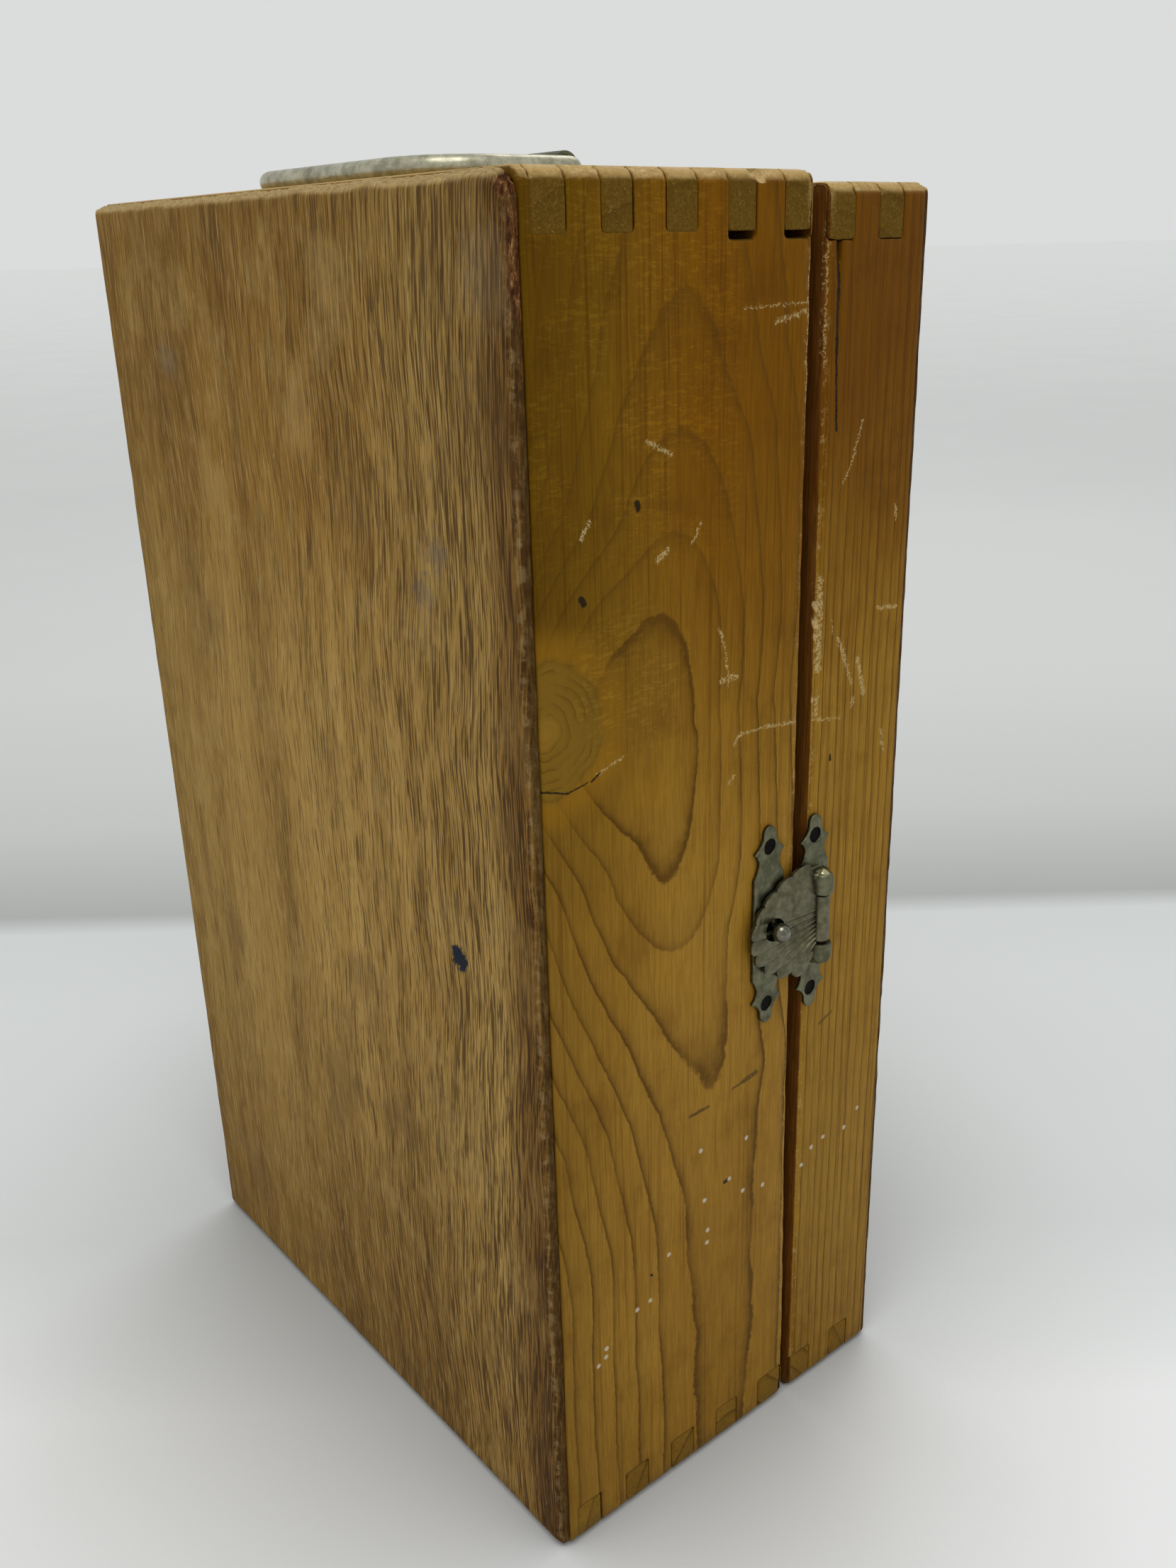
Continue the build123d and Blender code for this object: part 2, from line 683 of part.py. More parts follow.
def build_movement_frame():
    front_holes = [(winding, winding_radius), (pendulum, pendulum_radius), (second, 0.6), (escape, 0.5)]
    back_holes = [(winding, 1.0), (pendulum, 0.8), (second, 0.6), (escape, 0.5)]
    front_flat = movement_plate(front_holes)
    back_flat = movement_plate(back_holes)
    parts["movement_front_plate"] = facing_front(front_flat, (0, 0), front_plate_y, plate)
    parts["movement_back_plate"] = facing_front(back_flat, (0, 0), back_plate_y, plate)
    places = [(x, z) for x in pillar_xs for z in pillar_zs]
    pillar_front = front_plate_y + plate
    pillars = [rod_along_y(pillar_front, back_plate_y, at, pillar_radius) for at in places]
    parts["plate_pillars"] = Compound(children=pillars)
    long_screws = []
    short_screws = []
    for x, z in places:
        front_seat = (x, board_front, z)
        back_seat = (x, back_plate_y + plate, z)
        long_screws.append(slotted_screw(front_seat, (0, -1, 0), 9.5, 1.2, 2.5, 1.5))
        short_screws.append(slotted_screw(back_seat, (0, 1, 0), 6.5, 1.2, 2.3, 1.3))
    drilled = []
    for pillar, long_screw, short_screw in zip(pillars, long_screws, short_screws):
        drilled.append(pillar - long_screw - short_screw)
    parts["plate_pillars"] = Compound(children=drilled)
    fasten("movement_screws", long_screws, ["movement_board", "movement_front_plate"])
    fasten("back_plate_screws", short_screws, ["movement_back_plate"])


# ---------------------------------------------------------------- winding key
def build_winding_key():
    hub = rod_along_y(-9.5, 3.5, winding, 4.0)
    hub -= rod_along_y(-6.0, 3.6, winding, winding_radius)
    wing_half = 13.0
    outline = Rectangle(2 * wing_half - 12, 12) + Pos(-7, 0) * Circle(6) + Pos(7, 0) * Circle(6)
    outline -= Pos(-8, 0) * Circle(2.4) + Pos(8, 0) * Circle(2.4)
    stand = Plane((winding[0], -9.5 - 5.2, winding[1] - 1.1), x_dir=(1, 0, 0), z_dir=(0, 0, 1))
    wing = stand.location * extrude(outline, amount=2.2)
    parts["winding_key"] = hub + wing


# ---------------------------------------------------------------- pendulum
def build_pendulum():
    shaft = rod_along_y(rod_y - rod_sheet, back_plate_y, pendulum, pendulum_radius)
    shaft += rod_along_y(back_plate_y, back_plate_y + plate, pendulum, 0.8)
    parts["pendulum_arbor"] = shaft
    rod_front = rod_y - rod_sheet
    bob_centre = (pendulum[0], pendulum[1] - bob_drop)
    foot = bob_centre[1] + 4.0
    length = rod_tip - foot
    outline = Pos(0, foot + length / 2) * RectangleRounded(2 * rod_half_width, length, 1.6)
    outline += Pos(*pendulum) * Circle(5.0)
    outline -= Pos(*pendulum) * Circle(pendulum_radius)
    for number in range(rod_notches):
        z = rod_notch_first + number * rod_notch_step
        outline -= Pos(rod_half_width, z) * Rot(0, 0, 45) * Rectangle(0.7, 0.7)
    rod = facing_front(outline, (0, 0), rod_front, rod_sheet)
    bob = rod_along_y(bob_front, bob_back, bob_centre, bob_radius)
    bob = fillet(bob.edges().filter_by(GeomType.CIRCLE), 1.2)
    parts["pendulum_rod"] = rod
    parts["pendulum_bob"] = bob - rod
    leaf = Rectangle(2.4, pallet_reach)
    anchor = Circle(3.2)
    for side in (-1, 1):
        anchor += Rot(0, 0, side * pallet_spread) * Pos(0, -pallet_reach / 2) * leaf
    anchor -= Circle(pendulum_radius)
    parts["pallet_anchor"] = facing_front(anchor, pendulum, escape_y, train_sheet)


def build_sliding_weight():
    low_half = 6.5
    high_half = 9.0
    corners = [
        (-low_half, -weight_half_height),
        (low_half, -weight_half_height),
        (high_half, weight_half_height),
        (-high_half, weight_half_height),
    ]
    outline = fillet(make_face(Polyline(*corners, close=True)).vertices(), 1.5)
    depth = weight_back - weight_front
    shape = facing_front(outline, (0, weight_z), weight_front, depth)
    low = weight_z - weight_half_height - 1
    high = weight_z + weight_half_height + 1
    side_gap = rod_half_width + running_gap
    shape -= block(-side_gap, side_gap, rod_y - rod_sheet - running_gap, rod_y + running_gap, low, high)
    spring_front = rod_y + running_gap
    shape -= block(-1.2, 1.2, spring_front, spring_front + 0.8, weight_z - 4, weight_z + 4)
    parts["sliding_weight"] = shape
    parts["weight_spring"] = block(-1.2, 1.2, spring_front + 0.3, spring_front + 0.8, weight_z - 4, weight_z + 4)


def build_rod_clip():
    """A small lever above the rod's tip: turned down, its lip keeps the rod from swinging."""
    clip_front = clip_back - clip_sheet
    arm = Pos(-clip_length / 2, 0) * Rectangle(clip_length, 3.0) + Circle(3.0)
    arm += Pos(-clip_length, 0) * Circle(1.5)
    arm -= Circle(1.2 + running_gap)
    lever = facing_front(arm, clip_pivot, clip_front, clip_sheet)
    lip_place = (clip_pivot[0] - clip_length, clip_pivot[1])
    lever += rod_along_y(clip_back, rod_y + 0.4, lip_place, 0.9)
    parts["rod_clip"] = lever
    post = rod_along_y(clip_back + part_gap, board_front, clip_pivot, 2.2)
    post += rod_along_y(clip_front - part_gap, dial_back, clip_pivot, 1.2)
    post += rod_along_y(clip_front - part_gap - 1.0, clip_front - part_gap, clip_pivot, 2.4)
    fasten("clip_post", [post], ["movement_board"])


def main():
    build_case_body()
    build_lid()
    build_catch()
    build_hasp()
    build_handle()
    build_hinges()
    build_movement_board()
    build_scale()
    build_winding_train()
    build_click()
    build_going_train()
    build_movement_frame()
    build_mainspring()
    build_winding_key()
    build_pendulum()
    build_sliding_weight()
    build_rod_clip()
    os.makedirs("parts", exist_ok=True)
    for name, shape in parts.items():
        export_step(shape, "parts/" + name + ".step")


main()
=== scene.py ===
import bpy
import bmesh
import math
import numpy as np
from mathutils import Matrix, Vector


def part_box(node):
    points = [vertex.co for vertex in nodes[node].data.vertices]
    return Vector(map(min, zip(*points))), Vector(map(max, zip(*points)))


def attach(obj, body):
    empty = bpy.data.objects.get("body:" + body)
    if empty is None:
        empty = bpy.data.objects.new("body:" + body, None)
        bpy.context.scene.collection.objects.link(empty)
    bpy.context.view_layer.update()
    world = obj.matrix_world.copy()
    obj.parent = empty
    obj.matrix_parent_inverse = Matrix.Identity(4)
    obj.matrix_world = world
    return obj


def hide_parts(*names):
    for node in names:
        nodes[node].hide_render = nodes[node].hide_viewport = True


# A metronome's wooden carrying case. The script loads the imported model, builds worn wood and
# stamped metal over it, and gives every piece a procedural material.

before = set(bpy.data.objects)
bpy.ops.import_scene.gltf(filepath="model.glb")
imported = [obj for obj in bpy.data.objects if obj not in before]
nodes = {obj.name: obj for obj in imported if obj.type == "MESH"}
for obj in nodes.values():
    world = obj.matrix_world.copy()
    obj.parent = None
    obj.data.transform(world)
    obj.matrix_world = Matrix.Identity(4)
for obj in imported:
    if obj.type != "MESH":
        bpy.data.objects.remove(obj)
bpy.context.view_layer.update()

MM = 0.001
CLASP_FACE, HINGE_FACE = -73.0, 73.0  # the boards' outer faces across x, in mm
BACK_FACE, FRONT_FACE = 46.0, -46.0
BODY_RIM, LID_RIM = -15.6, -18.8  # where the two halves of the case meet
BODY_TOP, LID_TOP = 252.0, 250.3


# ---- material helpers
class Graph:
    """A material's node tree, with short calls for the nodes that this script uses."""

    def __init__(self, name):
        self.material = bpy.data.materials.new(name)
        self.material.use_nodes = True
        self.tree = self.material.node_tree
        self.shader = self.tree.nodes["Principled BSDF"]
        texture = self.tree.nodes.new("ShaderNodeTexCoord")
        self.place = self.scaled(texture.outputs["Object"], 1 / MM)
        self.normal = texture.outputs["Normal"]
        self.x, self.y, self.z = self.split(self.place)

    def node(self, kind, inputs=(), **settings):
        made = self.tree.nodes.new(kind)
        for key, value in settings.items():
            setattr(made, key, value)
        for key, value in dict(inputs).items():
            self.feed(made.inputs[key], value)
        return made

    def feed(self, socket, value):
        if isinstance(value, bpy.types.NodeSocket):
            self.tree.links.new(value, socket)
        elif isinstance(value, tuple) and len(value) == 3 and len(socket.default_value) == 4:
            socket.default_value = (*value, 1.0)
        else:
            socket.default_value = value

    def split(self, vector):
        made = self.node("ShaderNodeSeparateXYZ", {0: vector})
        return made.outputs[0], made.outputs[1], made.outputs[2]

    def join(self, x, y, z):
        return self.node("ShaderNodeCombineXYZ", {0: x, 1: y, 2: z}).outputs[0]

    def scaled(self, vector, factor):
        return self.node("ShaderNodeVectorMath", {0: vector, "Scale": factor}, operation="SCALE").outputs[0]

    def vector(self, operation, a, b):
        made = self.node("ShaderNodeVectorMath", {0: a, 1: b}, operation=operation)
        return made.outputs["Value"] if operation in ("DOT_PRODUCT", "LENGTH", "DISTANCE") else made.outputs[0]

    def math(self, operation, a, b=0.0, clamp=False):
        return self.node("ShaderNodeMath", {0: a, 1: b}, operation=operation, use_clamp=clamp).outputs[0]

    def add(self, first, *others):
        for other in others:
            first = self.math("ADD", first, other)
        return first

    def times(self, first, *others):
        for other in others:
            first = self.math("MULTIPLY", first, other)
        return first

    def larger(self, a, b):
        return self.math("MAXIMUM", a, b)

    def span(self, value, low, high, out_low=0.0, out_high=1.0, smooth=True):
        kind = "SMOOTHSTEP" if smooth else "LINEAR"
        inputs = {0: value, 1: low, 2: high, 3: out_low, 4: out_high}
        return self.node("ShaderNodeMapRange", inputs, interpolation_type=kind).outputs[0]

    def noise(self, scale, detail=3.0, rough=0.5, shift=0.0, stretch=(1, 1, 1), place=None, twist=0.0):
        """Noise from 0 to 1. scale is in repeats per mm, shift picks the place, stretch scales each way."""
        moved = self.node("ShaderNodeMapping", {
            0: place or self.place, "Location": (shift, shift * 0.7, shift * 1.3), "Scale": stretch})
        return self.node("ShaderNodeTexNoise", {
            "Vector": moved.outputs[0], "Scale": scale, "Detail": detail, "Roughness": rough,
            "Distortion": twist}).outputs["Fac"]

    def sway(self, size, *noise, **more):
        """Noise about 0, with a total swing of the size."""
        return self.times(self.add(self.noise(*noise, **more), -0.5), size)

    def ramp(self, value, stops):
        made = self.node("ShaderNodeValToRGB", {0: value})
        points = made.color_ramp.elements
        points[0].position, points[1].position = stops[0][0], stops[-1][0]
        for position, _ in stops[1:-1]:
            points.new(position)
        for point, (_, colour) in zip(points, stops):
            point.color = (*colour, 1.0) if isinstance(colour, tuple) else (colour, colour, colour, 1.0)
        return made.outputs[0]

    def curve(self, stops):
        """A length in mm for each height, straight between stops. A ramp holds shares of the longest."""
        longest = 40
        share = self.span(self.z, 0, BODY_TOP, smooth=False)
        made = self.ramp(share, [(height / BODY_TOP, size / longest) for height, size in stops])
        return self.times(self.node("ShaderNodeSeparateColor", {0: made}).outputs[0], longest)

    def mix(self, factor, a, b, blend="MIX"):
        inputs = {0: factor, 6: a, 7: b}
        return self.node("ShaderNodeMix", inputs, data_type="RGBA", blend_type=blend).outputs[2]

    def tinted(self, factor, colour, tint):
        """The colour, multiplied by the tint as far as the factor says."""
        return self.mix(factor, colour, self.mix(1.0, colour, tint, "MULTIPLY"))

    def attribute(self, name):
        return self.node("ShaderNodeAttribute", attribute_name=name).outputs["Fac"]

    def openness(self, distance, samples):
        """1 in the open, and less within the distance in mm of something else."""
        inputs = {"Distance": distance * MM}
        return self.node("ShaderNodeAmbientOcclusion", inputs, samples=samples).outputs["AO"]

    def closed_in(self, distance):
        """From 0 in the open to 1 deep in a crack or beside a neighbour."""
        return self.span(self.openness(distance, 5), 0.62, 0.22)

    def roughened(self, ragged, shift):
        """The outer face's (y, z) place in mm, pushed about so that marks drawn on it look torn. Its first
        number takes places inside the case far away from the marks."""
        y = self.add(self.y, self.sway(ragged, 1.1, 4, 0.75, shift))
        z = self.add(self.z, self.sway(ragged, 1.3, 4, 0.75, shift + 40))
        return self.join(self.times(self.larger(self.add(self.x, -CLASP_FACE - 1.2), 0.0), 6.0), y, z)

    def near_lines(self, flat, strokes):
        """1 inside the strokes, 0 outside. Each is y, z of its start and end, and a half-width, in mm."""
        nearest = None
        for *ends, width in strokes:
            a = Vector((0, *ends[:2]))
            run = Vector((0, *ends[2:])) - a
            away = self.vector("SUBTRACT", flat, tuple(a))
            if run.length > 0.05:
                along = self.vector("DOT_PRODUCT", away, tuple(run / run.length_squared))
                along = self.math("MAXIMUM", self.math("MINIMUM", along, 1.0), 0.0)
                away = self.vector("SUBTRACT", away, self.scaled(tuple(run), along))
            gap = self.times(self.vector("LENGTH", away, (0, 0, 0)), 1 / width)
            nearest = gap if nearest is None else self.math("MINIMUM", nearest, gap)
        return self.span(nearest, 1.15, 0.6)

    def bump(self, height, strength, distance, before=None):
        inputs = {"Height": height, "Strength": strength, "Distance": distance * MM}
        if before is not None:
            inputs["Normal"] = before
        return self.node("ShaderNodeBump", inputs).outputs[0]

    def finish(self, colour, roughness, normal=None, metallic=0.0, specular=0.5, tint=None):
        inputs = {"Base Color": colour, "Roughness": roughness, "Metallic": metallic,
                  "Specular IOR Level": specular, "Specular Tint": tint, "Normal": normal}
        for name, value in inputs.items():
            if value is not None:
                self.feed(self.shader.inputs[name], value)
        return self.material


# ---- varnished pine
PALE_WOOD = (0.35, 0.194, 0.03)
TAN_WOOD = (0.292, 0.151, 0.016)
AMBER_WOOD = (0.205, 0.082, 0.0003)
OLIVE_WOOD = (0.165, 0.084, 0.001)
LATE_WOOD = (0.08, 0.034, 0.002)
RAW_WOOD = (0.5, 0.35, 0.16)
END_WOOD = (0.088, 0.046, 0.003)
# Near-black for the cracks: painted shade and dirt in them.
CRACK_SHADE_AND_DIRT = (0.012, 0.007, 0.004)
SCRATCHED = (0.5, 0.38, 0.17)


def ring_wood(g, across, depth, ring_width, strength=1.0):
    """How dark the late wood is, and the same with the slow change across each ring. Lengths are in mm."""
    far = g.math("SQRT", g.add(g.times(across, across), g.times(depth, depth)))
    sway = g.add(g.noise(0.04, 2, 0.5, 11), -0.5)
    tremble = g.add(g.noise(0.55, 3, 0.6, 4), -0.5)
    far = g.add(far, g.add(g.times(sway, ring_width * 0.5), g.times(tremble, ring_width * 0.13)))
    count = g.times(far, 1 / ring_width)
    share = g.math("FRACT", count)
    # Each ring darkens slowly towards its late wood, then stops sharply.
    late = g.math("POWER", share, 11.0)
    late = g.times(late, g.span(share, 0.999, 0.955))
    late = g.math("MULTIPLY", late, 1.9, clamp=True)
    year = g.node("ShaderNodeTexWhiteNoise", {"W": g.math("FLOOR", count)}, noise_dimensions="1D")
    late = g.times(late, g.span(year.outputs["Value"], 0.0, 1.0, 0.5, 1.0, smooth=False))
    fade = g.noise(0.06, 2, 0.5, 14)
    late = g.times(late, g.span(fade, 0.3, 0.55, 0.5, 1.0))
    body = g.times(g.math("POWER", share, 2.5), 0.24)
    return g.times(g.math("ADD", late, body, clamp=True), strength), late


def fibre_stretch(axis, long=0.045):
    return tuple(long if direction == axis else 1.0 for direction in "xyz")


def pine(name, axis, ring, zone=None, marks=None, gloss=0.42, rim=None):
    """axis is the way the grain runs. ring(g) gives across, depth, ring width and maybe strength. zone tints
    the ground.
    rim is the y of the edge that meets the other half of the case, whose face is dark."""
    g = Graph(name)
    lines, late = ring_wood(g, *ring(g))

    broad = g.noise(0.02, 3, 0.55, 31, stretch=fibre_stretch(axis, 0.35))
    ground = g.mix(g.span(broad, 0.35, 0.65), TAN_WOOD, PALE_WOOD)
    if zone is not None:
        ground = zone(g, ground)
    fibre = g.noise(2.3, 3, 0.65, 7, stretch=fibre_stretch(axis))
    fibre_fine = g.noise(6.5, 2, 0.6, 17, stretch=fibre_stretch(axis, 0.03))
    streak = g.span(g.add(g.times(fibre, 0.6), g.times(fibre_fine, 0.4)), 0.36, 0.64)
    deep = g.mix(1.0, ground, (0.62, 0.5, 0.35), "MULTIPLY")
    ground = g.mix(g.span(streak, 0, 1, 0.5, 0.0), ground, deep)
    thin = g.noise(1.0, 2, 0.5, 19, stretch=fibre_stretch(axis, 0.012))
    ground = g.tinted(g.span(thin, 0.57, 0.66, 0, 0.45), ground, (0.55, 0.42, 0.25))
    darker = g.mix(0.88, ground, LATE_WOOD)
    colour = g.mix(lines, ground, darker)

    # Blotches in the varnish.
    blotch = g.noise(0.09, 4, 0.62, 3)
    colour = g.tinted(g.span(blotch, 0.5, 0.72, 0, 0.5), colour, (0.66, 0.58, 0.42))
    colour = g.tinted(g.span(blotch, 0.46, 0.3, 0, 0.35), colour, (1.25, 1.22, 1.15))

    # End grain drinks the varnish: darker, with rings and fine rays.
    flat = g.split(g.normal)["xyz".index(axis)]
    on_end = g.span(g.math("ABSOLUTE", flat), 0.55, 0.8)
    rays = g.noise(1.6, 4, 0.7, 23, twist=1.2)
    pores = g.noise(7.0, 2, 0.6, 29)
    end_colour = g.mix(g.span(rays, 0.42, 0.62), END_WOOD, (0.128, 0.072, 0.01))
    end_colour = g.mix(g.times(lines, 0.7), end_colour, (0.065, 0.033, 0.004))
    end_colour = g.mix(g.span(pores, 0.58, 0.7, 0, 0.45), end_colour, (0.05, 0.026, 0.005))
    scrape = g.noise(1.2, 3, 0.6, 37, stretch=(0.4, 1.0, 1.0), twist=2.2)
    end_colour = g.mix(g.span(scrape, 0.6, 0.68, 0, 0.4), end_colour, (0.34, 0.23, 0.075))
    faint = g.span(g.z, 6, 14, 0.5, 0.92)
    colour = g.mix(g.times(on_end, faint), colour, end_colour)

    # Worn edges, fresh breaks, and dirt with painted shade in the joints.
    up = g.span(g.split(g.normal)[2], 0.25, 0.7)
    high = g.span(g.z, 244, 249)
    bleach = g.noise(0.5, 4, 0.65, 39, stretch=fibre_stretch(axis, 0.08))
    bleached = g.mix(g.times(lines, 0.7), (0.5, 0.35, 0.14), (0.3, 0.18, 0.055))
    colour = g.mix(g.times(up, g.span(bleach, 0.3, 0.65, 0.62, 0.9), high), colour, bleached)
    rub = g.noise(0.35, 5, 0.68, 41)
    rub_fine = g.noise(1.7, 3, 0.6, 43)
    where = g.span(g.add(g.times(rub, 0.65), g.times(rub_fine, 0.35)), 0.5, 0.62)
    worn = g.times(g.attribute("wear"), g.larger(where, g.times(high, 0.7)))
    worn_colour = g.mix(g.span(rub_fine, 0.35, 0.65), (0.34, 0.2, 0.055), (0.48, 0.33, 0.13))
    colour = g.mix(g.times(worn, g.span(high, 0, 1, 0.45, 0.8)), colour, worn_colour)
    fresh = g.attribute("fresh")
    colour = g.mix(g.times(fresh, g.span(rub_fine, 0.25, 0.6, 0.3, 0.9)), colour, RAW_WOOD)
    if rim is not None:
        turned = g.span(g.math("ABSOLUTE", g.split(g.normal)[1]), 0.6, 0.85)
        here = g.span(g.math("ABSOLUTE", g.add(g.y, -rim)), 2.4, 1.6)
        rim_colour = g.mix(g.span(fibre, 0.4, 0.62), (0.095, 0.031, 0.005), (0.145, 0.053, 0.009))
        colour = g.mix(g.times(turned, here, 0.95), colour, rim_colour)
    # Painted shade and dirt: the colour darkens in cracks and beside neighbouring boards, where shade falls.
    grime_and_shade = g.closed_in(0.9)
    colour = g.mix(g.times(grime_and_shade, 0.8), colour, (0.022, 0.011, 0.003))
    foot = g.times(g.span(g.z, 7, 1, 0, 0.45), g.span(rub, 0.35, 0.6))
    colour = g.mix(foot, colour, (0.08, 0.045, 0.014))
    relief = g.add(g.times(streak, -0.25), g.times(late, 0.5))
    if marks is not None:
        colour, relief = marks(g, colour, relief)

    crackle = g.noise(0.9, 5, 0.7, 53)
    normal = g.bump(crackle, 0.22, 0.16)
    normal = g.bump(relief, 0.4, 0.12, normal)
    normal = g.bump(fibre_fine, 0.3, 0.1, normal)
    rough = g.span(crackle, 0.3, 0.7, gloss - 0.07, gloss + 0.1, smooth=False)
    rough = g.larger(rough, g.span(worn, 0.2, 0.8, 0.3, 0.72))
    rough = g.larger(rough, g.times(on_end, 0.66))
    return g.finish(colour, rough, normal, specular=0.07, tint=(1.0, 0.8, 0.4))


def clasp_ring(g):
    """The flat-sawn board beside the clasp: its rings make long ovals with their points down."""
    heart = g.curve(
        [(0, 2), (60, 2.6), (91, 6), (124, 15.5), (165, 20), (213, 13.5), (252, 12)])
    depth = g.curve(
        [(0, 26.5), (66, 26.2), (91, 23.6), (111, 21.8), (123, 19.7), (137, 15.6), (163, 12), (185, 15.4),
         (200, 19.7), (213, 23), (224, 26), (252, 30)])
    depth = g.add(depth, g.times(g.add(g.x, 73.0), 0.8))
    # The rings part round the knot at the panel's edge.
    knot = g.vector("DISTANCE", g.join(0.0, g.y, g.z), (0, 42, 171.5))
    push = g.span(knot, 34, 9, 0, 7)
    across = g.add(g.y, g.times(heart, -1.0), g.times(push, -1.0))
    return across, depth, 3.95, g.span(g.z, 172, 205, 1.0, 0.55)


def clasp_zone(g, ground):
    """Amber towards the top and the lid, olive beside the panel, tan below."""
    wander = g.sway(50, 0.03, 3, 0.5, 61)
    high = g.span(g.add(g.z, wander), 130, 215)
    lid_side = g.span(g.add(g.y, g.times(wander, 0.3)), 34, 4)
    amber = g.times(high, g.add(0.55, g.times(lid_side, 0.45)))
    ground = g.mix(amber, ground, AMBER_WOOD)
    olive = g.times(g.span(g.add(g.y, g.times(wander, 0.2)), 12, 40), g.span(g.z, 120, 200, 0.25, 0.9))
    ground = g.mix(g.times(olive, 0.75), ground, OLIVE_WOOD)
    ground = g.tinted(g.times(olive, 0.8), ground, (0.74, 0.73, 0.6))
    # The side darkens towards the panel all the way down.
    shade = g.times(g.span(g.add(g.y, g.times(wander, 0.15)), 30, 45), 0.4)
    ground = g.tinted(shade, ground, (0.62, 0.6, 0.5))
    return g.tinted(g.span(g.z, 120, 200, 0.25, 1.0), ground, (0.87, 0.86, 0.5))


def lid_zone(g, ground):
    wander = g.sway(50, 0.03, 3, 0.5, 67)
    high = g.span(g.add(g.z, wander), 158, 226)
    ground = g.mix(g.times(high, 0.95), ground, AMBER_WOOD)
    tint = g.mix(g.span(g.z, 60, 130), (0.84, 0.83, 0.62), (0.89, 0.87, 0.62))
    return g.mix(1.0, ground, g.mix(high, tint, (0.72, 0.64, 0.3)), "MULTIPLY")


def plain_zone(g, ground):
    wander = g.sway(60, 0.025, 3, 0.5, 71)
    high = g.span(g.add(g.z, wander), 140, 240)
    return g.mix(g.times(high, 0.6), ground, AMBER_WOOD)


def curl(g, colour, relief, where):
    """Pale cross-ripples where the figure curls."""
    ripple = g.noise(1.0, 3, 0.6, 83, stretch=(0.42, 0.42, 1.7), twist=0.7)
    patch = g.noise(0.07, 3, 0.6, 89)
    amount = g.times(g.span(ripple, 0.51, 0.6), g.span(patch, 0.36, 0.52), where)
    colour = g.tinted(g.times(amount, 0.5), colour, (1.5, 1.6, 2.2))
    return colour, g.add(relief, g.times(amount, 0.8))


def scratched(g, colour, ragged, shift, strokes):
    """Pale, broken scratches, and how finely they are broken."""
    fine = g.noise(2.6, 4, 0.7, 105)
    pale = g.near_lines(g.roughened(ragged, shift), strokes)
    return g.mix(g.times(pale, g.span(fine, 0.44, 0.54), 0.72), colour, SCRATCHED), fine


def cracked(g, colour, relief, amount, ragged, shift, strokes):
    """Deep cracks and holes, painted near-black with shade and dirt."""
    cracks = g.near_lines(g.roughened(ragged, shift), strokes)
    return g.mix(g.times(cracks, amount), colour, CRACK_SHADE_AND_DIRT), g.add(relief, g.times(cracks, -3.0))


